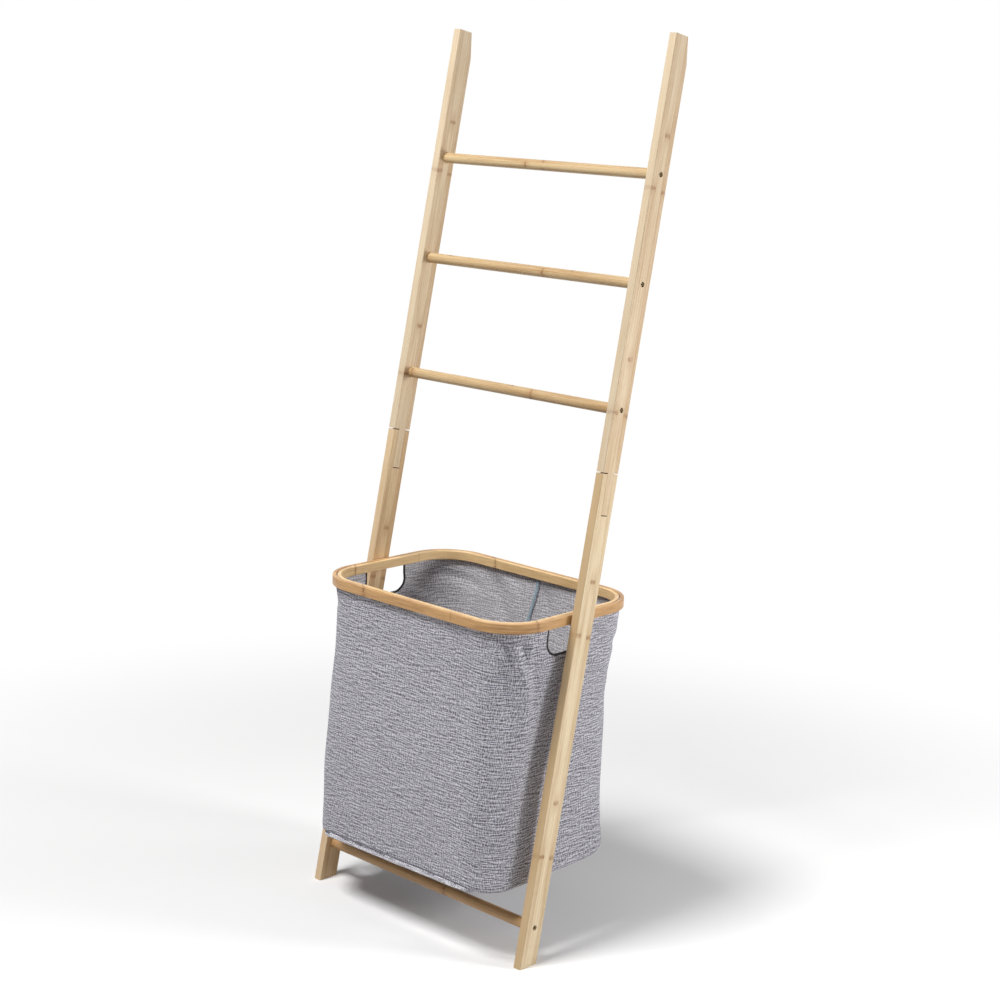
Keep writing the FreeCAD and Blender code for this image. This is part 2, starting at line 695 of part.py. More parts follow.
os.makedirs("parts", exist_ok=True)
for piece in pieces:
    piece.Shape.exportStep(f"parts/{piece.Label}.step")
    print(piece.Label, len(piece.Shape.Solids), round(piece.Shape.Volume))
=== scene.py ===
"""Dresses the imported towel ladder: lacquered bamboo, steel, and a laundry bag of flecked grey cloth.

Lengths are in metres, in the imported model's own frame: the floor lies at z = 0, +Y points back to the wall
and +X to the right along the rungs.
"""
from __future__ import annotations

import json
import logging
import math
from dataclasses import dataclass, replace
from enum import Enum
from typing import Union

import bpy
import numpy as np
from mathutils import Matrix, Vector

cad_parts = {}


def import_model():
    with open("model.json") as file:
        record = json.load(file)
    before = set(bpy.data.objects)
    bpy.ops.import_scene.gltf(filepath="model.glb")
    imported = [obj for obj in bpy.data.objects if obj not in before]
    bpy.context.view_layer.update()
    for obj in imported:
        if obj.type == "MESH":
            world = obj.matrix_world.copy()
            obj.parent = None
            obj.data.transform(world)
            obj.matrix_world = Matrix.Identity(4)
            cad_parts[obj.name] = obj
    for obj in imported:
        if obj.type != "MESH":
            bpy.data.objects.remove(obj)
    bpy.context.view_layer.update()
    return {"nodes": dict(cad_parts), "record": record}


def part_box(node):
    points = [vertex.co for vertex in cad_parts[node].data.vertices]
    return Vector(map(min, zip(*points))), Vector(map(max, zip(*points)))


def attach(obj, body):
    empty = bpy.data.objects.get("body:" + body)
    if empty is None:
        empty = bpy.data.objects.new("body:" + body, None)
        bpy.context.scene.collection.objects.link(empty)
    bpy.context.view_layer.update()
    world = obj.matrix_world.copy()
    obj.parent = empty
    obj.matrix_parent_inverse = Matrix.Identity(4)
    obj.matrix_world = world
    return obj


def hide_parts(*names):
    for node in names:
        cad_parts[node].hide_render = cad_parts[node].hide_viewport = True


LOG = logging.getLogger("towel_ladder")
QUARTER = 0.5 * math.pi
LAPS = 8

Array = np.ndarray
Pair = tuple[float, float]
Triple = tuple[float, float, float]
Tone = tuple[int, int, int]
Socket = bpy.types.NodeSocket
Source = Union[Socket, float, tuple]
Inputs = dict[Union[str, int], Source]


def seen(red: int, green: int, blue: int) -> tuple[float, float, float, float]:
    """Turns a colour as it is seen on a screen, 0 to 255, into a shader's linear one by the sRGB curve.

    Args:
        red: red as seen.
        green: green as seen.
        blue: blue as seen.

    Returns:
        Linear red, green, blue and a full alpha.
    """
    shares = np.array((red, green, blue)) / 255.0
    linear = np.where(shares <= 0.04045, shares / 12.92, ((shares + 0.055) / 1.055) ** 2.4)
    return (float(linear[0]), float(linear[1]), float(linear[2]), 1.0)


def ease(value: Array, low: float, high: float) -> Array:
    """Smooth step: 0 at low, 1 at high, with level ends; low may be the larger."""
    share = np.clip((value - low) / (high - low), 0.0, 1.0)
    return share * share * (3.0 - 2.0 * share)


class Nodes:
    """A node tree under construction, with one short call for each kind of node that the scene uses."""

    def __init__(self, tree: bpy.types.NodeTree) -> None:
        """Takes up the tree that the nodes go into."""
        self.nodes = tree.nodes
        self.links = tree.links

    def feed(self, socket: Socket, source: Source) -> None:
        """Links an input to an output, or sets its value.

        Args:
            socket: the input.
            source: an output to link, or a plain value.
        """
        if isinstance(source, Socket):
            self.links.new(source, socket)
        else:
            socket.default_value = source

    def add(self, kind: str, inputs: Inputs, output: Union[str, int] = 0, **settings: object) -> Socket:
        """Adds a node and feeds it.

        Args:
            kind: the node's type name.
            inputs: what goes into its inputs, by name or number.
            output: name or number of the output that is wanted.
            settings: properties to set on it.

        Returns:
            The output.
        """
        node = self.nodes.new(kind)
        for name, value in settings.items():
            setattr(node, name, value)
        for key, source in inputs.items():
            self.feed(node.inputs[key], source)
        return node.outputs[output]

    def coordinates(self, kind: str) -> Socket:
        """The piece's own coordinates, Object or UV."""
        return self.add("ShaderNodeTexCoord", {}, kind)

    def mapped(
        self, vector: Source, scale: Triple = (1, 1, 1), turn: Triple = (0, 0, 0), move: Triple = (0, 0, 0)
    ) -> Socket:
        """A vector scaled, then turned about X, Y and Z, then moved."""
        inputs = {"Vector": vector, "Scale": scale, "Rotation": turn, "Location": move}
        return self.add("ShaderNodeMapping", inputs, "Vector")

    def split(self, vector: Source) -> tuple[Socket, ...]:
        """A vector's x, y and z."""
        return tuple(self.add("ShaderNodeSeparateXYZ", {0: vector}).node.outputs)

    def math(self, operation: str, first: Source, second: Source = 0.0, clamp: bool = False) -> Socket:
        """One step of arithmetic, such as MULTIPLY, kept within 0 and 1 where clamp is set."""
        return self.add("ShaderNodeMath", {0: first, 1: second}, operation=operation, use_clamp=clamp)

    def noise(self, vector: Source, detail: float = 2.0) -> Socket:
        """Soft noise whose blots are about one unit of the vector across, around 0.5."""
        return self.add("ShaderNodeTexNoise", {"Vector": vector, "Scale": 1.0, "Detail": detail})

    def random(self, number: Source) -> Socket:
        """A steady random share for each number."""
        return self.add("ShaderNodeTexWhiteNoise", {"W": number}, "Value", noise_dimensions="1D")

    def step(self, value: Source, low: float, high: float) -> Socket:
        """A smooth step from 0 at low to 1 at high."""
        inputs = {"Value": value, "From Min": low, "From Max": high}
        return self.add("ShaderNodeMapRange", inputs, interpolation_type="SMOOTHSTEP")

    def blend(self, share: Source, first: Source, second: Source) -> Socket:
        """Mixes two colours, from the first at 0 to the second at 1."""
        return self.add("ShaderNodeMix", {"Factor": share, 6: first, 7: second}, 2, data_type="RGBA")

    def weighted(self, base: float, *parts: tuple[Source, float]) -> Socket:
        """Adds noises to a base, each counted from its middle value of 0.5 and times its weight.

        Args:
            base: where the sum starts.
            parts: pairs of a noise and its weight.

        Returns:
            The sum, kept within 0 and 1.
        """
        total: Source = base
        for value, weight in parts:
            swing = self.math("MULTIPLY", self.math("SUBTRACT", value, 0.5), weight)
            total = self.math("ADD", total, swing)
        return self.math("MULTIPLY", total, 1.0, clamp=True)

    def looked_at(self) -> Socket:
        """1 for what the camera sees, straight or by way of metal or glass, and 0 for any other light.

        Returns:
            The number.
        """
        rays = self.nodes.new("ShaderNodeLightPath").outputs
        shown = self.math("MAXIMUM", rays["Is Camera Ray"], rays["Is Glossy Ray"])
        return self.math("MAXIMUM", shown, rays["Is Transmission Ray"])


class Recipe(Nodes):
    """A material under construction, whose surface is one principled shader."""

    def __init__(self, name: str) -> None:
        """Starts the material.

        Args:
            name: the material's name.
        """
        self.material = bpy.data.materials.new(name)
        self.material.use_nodes = True
        super().__init__(self.material.node_tree)
        self.shader = self.nodes["Principled BSDF"]

    def relief(self, height: Source, depth: float) -> None:
        """Gives the surface a relief, as deep as depth where the height is 1."""
        inputs = {"Height": height, "Distance": depth, "Strength": 1.0}
        self.feed(self.shader.inputs["Normal"], self.add("ShaderNodeBump", inputs, "Normal"))

    def set(self, **values: Source) -> None:
        """Sets or links the shader's inputs; an underscore in a name stands for a space."""
        for name, value in values.items():
            self.feed(self.shader.inputs[name.replace("_", " ")], value)


class Grain(Enum):
    """Which way the fibres of a bamboo piece run."""

    UP_THE_RAIL = "up the rail"
    ALONG_THE_RUNG = "along the rung"
    ROUND_THE_RIM = "round the rim"


@dataclass(frozen=True)
class Bamboo:
    """Lacquered bamboo, glued up from strips, with fibres, pores and the joints of the cane.

    Attributes:
        name: the material's name.
        grain: which way the fibres run.
        pale: lighter tone as seen.
        deep: darker tone as seen.
        joint: colour of the cane's joints as seen.
        strip: width of a strip.
        joint_spacing: from one joint to the next in a strip.
        joint_height: how far a joint's mark reaches along the fibres.
        fibre: a fibre's width and length.
        pore: a pore's width and length.
        streak: a broad streak's width and length.
        base: share of the darker tone.
        strip_weight: how much the strips differ in tone.
        streak_weight: how much the broad streaks show.
        fibre_weight: how much the fibres show.
        pore_weight: how much the pores show.
        slant: how much y counts beside x in the way round the rim.
        blots: uneven places in a joint's mark, per metre.
        stagger: the most that a strip's joints are moved along it.
        stagger_start: number of the first strip's random place.
        unevenness: how far a mark wanders along the fibres.
        core: share of a mark's height where it is strongest.
        mark: a mark's strength, and how uneven it is.
        halo: reach of the shade round a mark, in its heights, and the shade's strength.
        gloss: the lacquer's roughness.
        shine: the lacquer's specular level.
        relief: depth of the fibres.
        lean: how far the rails lean back.
        foot: y of the rails' front edge on the floor.
        depth: a rail's reach from front to back.
        edge: colour of a rail's narrow faces, where the strips show their edges; paler and greyer than the
            faces, partly for that edge grain and partly as painted light, the look of those faces where the
            lamps fall on them.
        edge_weight: how much of that colour they have.
        edge_fade: depths below those faces where the colour ends, and where it is whole.
    """

    name: str
    grain: Grain
    pale: Tone
    deep: Tone
    joint: Tone
    strip: float
    joint_spacing: float
    joint_height: float = 0.0042
    fibre: Pair = (0.0013, 0.10)
    pore: Pair = (0.0005, 0.012)
    streak: Pair = (0.03, 0.22)
    base: float = 0.45
    strip_weight: float = 0.40
    streak_weight: float = 1.1
    fibre_weight: float = 2.0
    pore_weight: float = 0.6
    slant: float = 1.3
    blots: float = 140.0
    stagger: float = 3.1
    stagger_start: float = 7.3
    unevenness: float = 0.006
    core: float = 0.15
    mark: Pair = (0.65, 1.6)
    halo: Pair = (5.0, 0.45)
    gloss: float = 0.38
    shine: float = 0.42
    relief: float = 0.00012
    lean: float = math.radians(10.5)
    foot: float = 0.0
    depth: float = 0.043
    # Paler and greyer than the faces: partly edge grain, partly painted light on the lit narrow faces.
    edge: Tone = (214, 204, 182)
    edge_weight: float = 0.40
    edge_fade: Pair = (0.0016, 0.0003)

    def fibre_space(self, recipe: Recipe) -> Socket:
        """Object coordinates turned so that Z runs along the fibres, or lies across them round the rim.

        Args:
            recipe: the material.

        Returns:
            The turned coordinates.
        """
        place = recipe.coordinates("Object")
        if self.grain is Grain.UP_THE_RAIL:
            middle = (0.0, -self.foot * math.cos(self.lean), -self.foot * math.sin(self.lean))
            return recipe.mapped(place, turn=(self.lean, 0.0, 0.0), move=middle)
        if self.grain is Grain.ALONG_THE_RUNG:
            return recipe.mapped(place, turn=(0.0, -QUARTER, 0.0))
        return place

    def marks(self, recipe: Recipe, space: Source, size: Pair, detail: float = 2.0) -> Socket:
        """Noise stretched along the fibres.

        Args:
            recipe: the material.
            space: the fibre space.
            size: a mark's width and length.
            detail: how fine the noise is.

        Returns:
            The noise.
        """
        across, along = 1.0 / size[0], 1.0 / size[1]
        round_the_rim = self.grain is Grain.ROUND_THE_RIM
        scale = (along, along, across) if round_the_rim else (across, across, along)
        return recipe.noise(recipe.mapped(space, scale=scale), detail)

    def jointed(self, recipe: Recipe, space: Source, row: Source, along: Source, colour: Source) -> Socket:
        """Adds the joints: marks at even distances along each strip, from a random place on.

        Args:
            recipe: the material.
            space: the fibre space.
            row: the strip's number.
            along: distance along the fibres.
            colour: the wood's colour.

        Returns:
            The colour with the marks, each in a soft shade of its own.
        """
        wander = recipe.noise(recipe.mapped(space, scale=(self.blots,) * 3), detail=1.0)
        start = recipe.random(recipe.math("ADD", row, self.stagger_start))
        placed = recipe.math("ADD", along, recipe.math("MULTIPLY", start, self.stagger))
        uneven = recipe.math("MULTIPLY", recipe.math("SUBTRACT", wander, 0.5), self.unevenness)
        lap = recipe.math("DIVIDE", recipe.math("ADD", placed, uneven), self.joint_spacing)
        off = recipe.math("ABSOLUTE", recipe.math("SUBTRACT", recipe.math("FRACT", lap), 0.5))
        off = recipe.math("MULTIPLY", off, self.joint_spacing)
        shade = recipe.step(off, self.joint_height * self.halo[0], 0.0)
        colour = recipe.blend(recipe.math("MULTIPLY", shade, self.halo[1]), colour, seen(*self.deep))
        mark = recipe.step(off, self.joint_height, self.joint_height * self.core)
        strength = recipe.weighted(self.mark[0], (wander, self.mark[1]))
        return recipe.blend(recipe.math("MULTIPLY", mark, strength), colour, seen(*self.joint))

    def edged(self, recipe: Recipe, across: Source, colour: Source) -> Socket:
        """Gives a rail's narrow faces their own colour: partly their edge grain, and partly painted light
        where the colour is pale and painted shade where it is deep brown, as on the lower right rail.

        Args:
            recipe: the material.
            across: distance back from the rail's front face.
            colour: the wood's colour.

        Returns:
            The colour with the narrow faces'.
        """
        half = 0.5 * self.depth
        from_middle = recipe.math("ABSOLUTE", recipe.math("SUBTRACT", across, half))
        narrow = recipe.step(from_middle, half - self.edge_fade[0], half - self.edge_fade[1])
        return recipe.blend(recipe.math("MULTIPLY", narrow, self.edge_weight), colour, seen(*self.edge))

    def material(self) -> bpy.types.Material:
        """Builds the material: strips, streaks, fibres and pores, then the joints and a rail's narrow faces.

        Returns:
            The material.
        """
        recipe = Recipe(self.name)
        space = self.fibre_space(recipe)
        first, second, third = recipe.split(space)
        across, along = second, third
        if self.grain is Grain.ROUND_THE_RIM:
            across = third
            along = recipe.math("ADD", first, recipe.math("MULTIPLY", second, self.slant))
        row = recipe.math("FLOOR", recipe.math("DIVIDE", across, self.strip))
        fibres = self.marks(recipe, space, self.fibre, detail=3.0)
        pores = self.marks(recipe, space, self.pore, detail=0.0)
        tone = recipe.weighted(
            self.base, (recipe.random(row), self.strip_weight),
            (self.marks(recipe, space, self.streak), self.streak_weight),
            (fibres, self.fibre_weight), (pores, self.pore_weight),
        )
        colour = recipe.blend(tone, seen(*self.pale), seen(*self.deep))
        colour = self.jointed(recipe, space, row, along, colour)
        if self.grain is Grain.UP_THE_RAIL:
            colour = self.edged(recipe, across, colour)
        recipe.set(Base_Color=colour, Roughness=self.gloss, Specular_IOR_Level=self.shine)
        recipe.relief(recipe.weighted(0.5, (fibres, 0.8), (pores, 0.5)), self.relief)
        return recipe.material


@dataclass(frozen=True)
class Steel:
    """Plain steel with a fine turned finish.

    Attributes:
        name: the material's name.
        tone: colour as seen.
        gloss: roughness of the bright places.
        wear: how much duller the worn places are.
        worn_share: how bright the worn places are against the others.
        spots: worn places per metre.
    """

    name: str
    tone: Tone
    gloss: float
    wear: float
    worn_share: float = 0.72
    spots: float = 900.0

    def material(self) -> bpy.types.Material:
        """Builds the material.

        Returns:
            The material.
        """
        recipe = Recipe(self.name)
        worn = recipe.noise(recipe.mapped(recipe.coordinates("Object"), scale=(self.spots,) * 3), detail=3.0)
        rough = recipe.math("ADD", recipe.math("MULTIPLY", worn, self.wear), self.gloss)
        darker = tuple(int(part * self.worn_share) for part in self.tone)
        colour = recipe.blend(worn, seen(*self.tone), seen(*darker))
        recipe.set(Base_Color=colour, Metallic=1.0, Roughness=rough)
        return recipe.material


@dataclass(frozen=True)
class FleckedCloth:
    """Plain-woven grey cloth of uneven light and dark yarns, laid out on a UV map in metres.

    Attributes:
        name: the material's name.
        light: light yarn as seen.
        dark: dark yarn as seen.
        yarn: from one yarn to the next.
        pick: from one crosswise group of like yarns to the next.
        end: from one upright group of like yarns to the next.
        weft_patch: how long a thick or dark place in a crosswise yarn is.
        warp_patch: how long one in an upright yarn is.
        weft_swing: how much the crosswise yarns differ in tone.
        warp_swing: how much the upright yarns differ in tone.
        warp_in_weft: how much the upright yarns show in the crosswise ones.
        weft_in_warp: the same the other way round.
        base: share of dark yarn.
        shift: what one yarn's pattern is moved against the next one's, in patches.
        starts: where the crosswise and the upright patterns start.
        blots: broad uneven places per metre, across and up.
        blot_start: where their pattern starts.
        blot_weight: how much they show.
        relief: depth of the weave.
    """

    name: str
    light: Tone
    dark: Tone
    yarn: float = 0.0011
    pick: float = 0.0018
    end: float = 0.0015
    weft_patch: float = 0.0240
    warp_patch: float = 0.0080
    weft_swing: float = 4.7
    warp_swing: float = 4.7
    warp_in_weft: float = 0.6
    weft_in_warp: float = 1.6
    base: float = 0.5
    shift: float = 3.713
    starts: Pair = (0.37, 41.83)
    blots: Triple = (14.0, 20.0, 1.0)
    blot_start: Triple = (1.3, 4.9, 5.0)
    blot_weight: float = 0.15
    relief: float = 0.0005

    def material(self) -> bpy.types.Material:
        """Builds the material: at each crossing the tone of the yarn that lies on top.

        Returns:
            The material.
        """
        recipe = Recipe(self.name)
        flat = recipe.coordinates("UV")
        across, up, _ = recipe.split(flat)
        column = recipe.math("DIVIDE", across, self.yarn)
        row = recipe.math("DIVIDE", up, self.yarn)
        pick, end = recipe.math("DIVIDE", up, self.pick), recipe.math("DIVIDE", across, self.end)
        weft = self.yarn_tone(recipe, across, pick, self.weft_patch, self.starts[0])
        warp = self.yarn_tone(recipe, up, end, self.warp_patch, self.starts[1])
        blots = (recipe.noise(recipe.mapped(flat, scale=self.blots, move=self.blot_start)), self.blot_weight)
        weft_tone = recipe.weighted(self.base, (weft, self.weft_swing), (warp, self.warp_in_weft), blots)
        warp_tone = recipe.weighted(self.base, (warp, self.warp_swing), (weft, self.weft_in_warp), blots)
        over = self.weft_over(recipe, column, row)
        under = recipe.math("MULTIPLY", recipe.math("SUBTRACT", 1.0, over), warp_tone)
        tone = recipe.math("ADD", recipe.math("MULTIPLY", over, weft_tone), under)
        recipe.set(Base_Color=recipe.blend(tone, seen(*self.light), seen(*self.dark)), Roughness=0.93)
        recipe.set(Specular_IOR_Level=0.25, Sheen_Weight=0.12, Sheen_Roughness=0.5)
        crowns = self.crowns(recipe, column, row)
        recipe.relief(recipe.weighted(0.5, (crowns, 0.8), (weft, 0.9)), self.relief)
        return recipe.material

    def yarn_tone(self, recipe: Recipe, along: Source, number: Source, patch: float, start: float) -> Socket:
        """The tone along a yarn: noise of the distance along it, with a pattern of its own for each yarn.

        The pattern of the next yarn is taken off, so that a light yarn has a dark one beside it and the cloth
        looks even from afar.

        Args:
            recipe: the material.
            along: distance along the yarn.
            number: the yarn's number.
            patch: how long a light or dark place is.
            start: where the first yarn's pattern starts.

        Returns:
            The tone, around 0.5.
        """
        own = recipe.math("MULTIPLY", recipe.math("FLOOR", number), self.shift)
        patterns = []
        for first in (start, start + self.shift):
            inputs = {0: recipe.math("DIVIDE", along, patch), 1: recipe.math("ADD", own, first)}
            patterns.append(recipe.noise(recipe.add("ShaderNodeCombineXYZ", inputs), detail=3.0))
        return recipe.math("ADD", recipe.math("SUBTRACT", *patterns), 0.5)

    def weft_over(self, recipe: Recipe, column: Source, row: Source) -> Socket:
        """1 where the crosswise yarn lies on top and 0 where the upright one does, as on a chessboard."""
        count = recipe.math("ADD", recipe.math("FLOOR", column), recipe.math("FLOOR", row))
        return recipe.math("MULTIPLY", recipe.math("FRACT", recipe.math("MULTIPLY", count, 0.5)), 2.0)

    def crowns(self, recipe: Recipe, column: Source, row: Source) -> Socket:
        """Height of the yarns: a rounded crown on each crossing, half a sine wave each way."""
        angles = [recipe.math("MULTIPLY", recipe.math("FRACT", number), math.pi) for number in (column, row)]
        return recipe.math("MULTIPLY", *(recipe.math("SINE", angle) for angle in angles))


@dataclass(frozen=True)
class WovenTape:
    """Narrow ribbed tape or thread, laid out on a UV map in metres.

    Attributes:
        name: the material's name.
        light: ridge colour as seen.
        dark: groove colour as seen, darker as painted shade between the ribs.
        rib: from one rib to the next, along the tape.
        fuzz: loose fibres per metre.
        relief: depth of the ribs.
    """

    name: str
    light: Tone
    dark: Tone
    rib: float = 0.0008
    fuzz: float = 900.0
    relief: float = 0.0003

    def material(self) -> bpy.types.Material:
        """Builds the material: a sine wave along the tape, which paints shade into the grooves between the
        ribs, blurred by fine noise.

        Returns:
            The material.
        """
        recipe = Recipe(self.name)
        flat = recipe.coordinates("UV")
        along, _, _ = recipe.split(flat)
        wave = recipe.math("SINE", recipe.math("MULTIPLY", along, 2 * math.pi / self.rib))
        ribs = recipe.math("ADD", recipe.math("MULTIPLY", wave, 0.5), 0.5)
        fuzz = recipe.noise(recipe.mapped(flat, scale=(self.fuzz, self.fuzz, 1.0)))
        tone = recipe.weighted(0.5, (ribs, 0.5), (fuzz, 1.2))
        recipe.set(Base_Color=recipe.blend(tone, seen(*self.dark), seen(*self.light)), Roughness=0.85)
        recipe.relief(tone, self.relief)
        return recipe.material


@dataclass(frozen=True)
class Board:
    """Stiff grey board with a matt, slightly mottled face.

    Attributes:
        name: the material's name.
        light: lighter tone as seen.
        dark: darker tone as seen.
        mottle: fine spots per metre.
        patch: broad patches per metre.
        relief: depth of the fine spots.
    """

    name: str
    light: Tone
    dark: Tone
    mottle: float = 350.0
    patch: float = 12.0
    relief: float = 0.0002

    def material(self) -> bpy.types.Material:
        """Builds the material.

        Returns:
            The material.
        """
        recipe = Recipe(self.name)
        place = recipe.coordinates("Object")
        mottle = recipe.noise(recipe.mapped(place, scale=(self.mottle,) * 3), detail=4.0)
        patches = recipe.noise(recipe.mapped(place, scale=(self.patch,) * 3))
        tone = recipe.weighted(0.5, (mottle, 1.0), (patches, 0.6))
        recipe.set(Base_Color=recipe.blend(tone, seen(*self.light), seen(*self.dark)), Roughness=0.9)
        recipe.relief(mottle, self.relief)
        return recipe.material


@dataclass
class Surface:
    """A mesh as arrays.

    Attributes:
        points: places, one row each.
        faces: corner numbers, four to a row.
        flat: UV place of each face's corners, in the order of the faces.
    """

    points: Array
    faces: Array
    flat: Array

    def outward(self) -> Surface:
        """The closed surface with its faces turned over if they enclose a negative volume.

        Returns:
            The surface whose faces point outwards.
        """
        first, second, third, fourth = np.moveaxis(self.points[self.faces], 1, 0)
        volume = np.sum(first * (np.cross(second, third) + np.cross(third, fourth)))
        if volume >= 0.0:
            return self
        return Surface(self.points, self.faces[:, ::-1], self.flat[:, ::-1])

    def piece(self, name: str, material: bpy.types.Material) -> bpy.types.Object:
        """Puts the arrays into a new object at the origin.

        Args:
            name: the piece's name.
            material: its finish.

        Returns:
            The object.
        """
        mesh = bpy.data.meshes.new(name)
        mesh.from_pydata(self.points, [], self.faces)
        mesh.uv_layers.new(name="flat").data.foreach_set("uv", self.flat.astype(np.float32).ravel())
        mesh.polygons.foreach_set("use_smooth", np.ones(len(self.faces), dtype=bool))
        mesh.materials.append(material)
        mesh.update()
        mesh.validate()
        piece = bpy.data.objects.new(name, mesh)
        bpy.context.scene.collection.objects.link(piece)
        return piece


def grid_faces(rows: int, columns: int, closed: bool) -> tuple[Array, ...]:
    """Faces of a grid of points, numbered row by row, in which each row's last point joins its first.

    Args:
        rows: points down a column.
        columns: points along a row.
        closed: whether the last row joins the first.

    Returns:
        The faces' corner numbers, and their corners' row and column numbers before wrapping.
    """
    row, column = np.meshgrid(np.arange(rows if closed else rows - 1), np.arange(columns), indexing="ij")
    row = np.stack((row, row, row + 1, row + 1), axis=-1).reshape(-1, 4)
    column = np.stack((column, column + 1, column + 1, column), axis=-1).reshape(-1, 4)
    return (row % rows) * columns + column % columns, row, column


def cap_faces(columns: int) -> Array:
    """Faces that fill a ring of points: strips from one half of the ring across to the other."""
    strip = np.arange(columns // 2 - 1)
    return np.stack((strip, strip + 1, columns - 2 - strip, columns - 1 - strip), axis=-1)


def run_along(places: Array) -> Array:
    """Distance along a closed line to each of its places, and at the end its whole length."""
    ahead = np.diff(places, axis=0, append=places[:1])
    return np.concatenate(((0.0,), np.cumsum(np.linalg.norm(ahead, axis=1))))


def tube(path: Array, side: Array, up: Array, profile: Array, closed: bool) -> Surface:
    """A closed profile carried along a path: place = path + profile's first times side + second times up.

    Args:
        path: places along the path.
        side: first direction of the profile at each place.
        up: second direction of the profile at each place.
        profile: the profile's outline, two numbers a row, in either direction.
        closed: whether the path's last place joins its first.

    Returns:
        The tube, with flat ends where the path is open.
    """
    points = path[:, None] + profile[None, :, :1] * side[:, None] + profile[None, :, 1:] * up[:, None]
    rows, columns = points.shape[:2]
    faces, row, column = grid_faces(rows, columns, closed)
    flat = np.stack((run_along(path)[row], run_along(profile)[column]), axis=-1)
    if not closed:
        cap = cap_faces(columns)
        faces = np.concatenate((faces, cap[:, ::-1], cap + (rows - 1) * columns))
        flat = np.concatenate((flat, np.zeros((2 * len(cap), 4, 2))))
    return Surface(points.reshape(-1, 3), faces, flat).outward()


def rounded_profile(half_width: float, half_height: float, power: float, count: int) -> Array:
    """A squarish oval: cosine and sine of an angle, each raised to a power below one.

    Args:
        half_width: reach along the first direction.
        half_height: reach along the second.
        power: 1 gives an ellipse, and less a squarer shape.
        count: number of points.

    Returns:
        The outline, two numbers a row.
    """
    angle = (np.arange(count) + 0.5) * 2 * np.pi / count
    circle = np.stack((np.cos(angle), np.sin(angle)), axis=-1)
    return np.array((half_width, half_height)) * np.sign(circle) * np.abs(circle) ** power


class Side(Enum):
    """The bag's four walls, numbered anticlockwise seen from above."""

    FRONT = 0
    RIGHT = 1
    BACK = 2
    LEFT = 3


SIDE_NORMALS = np.array(((0.0, -1.0), (1.0, 0.0), (0.0, 1.0), (-1.0, 0.0)))
SIDE_RUNS = np.array(((1.0, 0.0), (0.0, 1.0), (-1.0, 0.0), (0.0, -1.0)))


@dataclass(frozen=True)
class Fold:
    """A soft ridge or furrow in the bag's wall, from one place to another.

    Attributes:
        side: the wall that it starts on.
        start: along the wall from its middle, and height.
        end: along the wall from its middle, and height; it may run on round the corner.
        width: half its breadth.
        height: how far it stands out, or in where negative.
    """

    side: Side
    start: Pair
    end: Pair
    width: float
    height: float


@dataclass(frozen=True)
class Hollow:
    """A broad soft bulge or dent in the bag's wall.

    Attributes:
        lap: place round the bag, in walls and corners.
        height: place above the floor.
        spread: half breadth in walls and corners, and half height.
        depth: how far it stands out, or in where negative.
    """

    lap: float
    height: float
    spread: Pair
    depth: float


@dataclass(frozen=True)
class Wave:
    """A small wave in the cloth that runs slanting round the bag.

    Attributes:
        height: how far it stands out.
        count: waves round the bag.
        slant: what the wave's angle grows by for each metre of height.
        start: its angle at the first lap, on the floor.
    """

    height: float
    count: int
    slant: float
    start: float


FOLDS = (
    # The ridge that runs down the front right corner from the rim, and the slack on both sides of it
    Fold(Side.RIGHT, (-0.152, 0.592), (-0.120, 0.500), 0.0070, 0.0070),
    Fold(Side.RIGHT, (-0.122, 0.515), (-0.108, 0.420), 0.0095, 0.0050),
    Fold(Side.RIGHT, (-0.164, 0.545), (-0.142, 0.440), 0.0095, -0.0055),
    Fold(Side.RIGHT, (-0.112, 0.580), (-0.098, 0.490), 0.0085, -0.0040),
    # Short sharp creases close under the rim at that corner
    Fold(Side.RIGHT, (-0.141, 0.600), (-0.123, 0.550), 0.0036, -0.0036),
    Fold(Side.RIGHT, (-0.172, 0.600), (-0.144, 0.545), 0.0042, -0.0036),
    Fold(Side.RIGHT, (-0.188, 0.596), (-0.170, 0.556), 0.0046, 0.0038),
    Fold(Side.RIGHT, (-0.206, 0.598), (-0.190, 0.560), 0.0044, -0.0036),
    Fold(Side.RIGHT, (-0.124, 0.596), (-0.114, 0.566), 0.0034, 0.0034),
    # Slack below and behind the right hand hole
    Fold(Side.RIGHT, (0.030, 0.556), (0.140, 0.470), 0.0120, 0.0040),
    Fold(Side.RIGHT, (0.036, 0.590), (0.190, 0.530), 0.0110, -0.0045),
    # The back wall, seen from inside, falls in slanting folds from the left hand hole
    Fold(Side.LEFT, (-0.060, 0.570), (-0.200, 0.470), 0.0130, -0.0060),
    Fold(Side.LEFT, (-0.065, 0.600), (-0.240, 0.560), 0.0110, 0.0045),
    Fold(Side.BACK, (0.130, 0.600), (0.060, 0.470), 0.0160, 0.0055),
    Fold(Side.BACK, (0.070, 0.600), (0.020, 0.480), 0.0150, -0.0050),
    Fold(Side.BACK, (-0.010, 0.605), (-0.060, 0.500), 0.0140, 0.0040),
    # In front of the left hand hole
    Fold(Side.LEFT, (0.055, 0.575), (0.120, 0.500), 0.0090, 0.0030),
    Fold(Side.LEFT, (0.060, 0.600), (0.170, 0.570), 0.0080, -0.0036),
    # The front wall is almost smooth
    Fold(Side.FRONT, (-0.150, 0.600), (-0.120, 0.420), 0.0180, 0.0018),
    Fold(Side.FRONT, (0.120, 0.600), (0.170, 0.440), 0.0160, -0.0030),
    Fold(Side.FRONT, (0.020, 0.300), (0.160, 0.240), 0.0300, 0.0020),
)

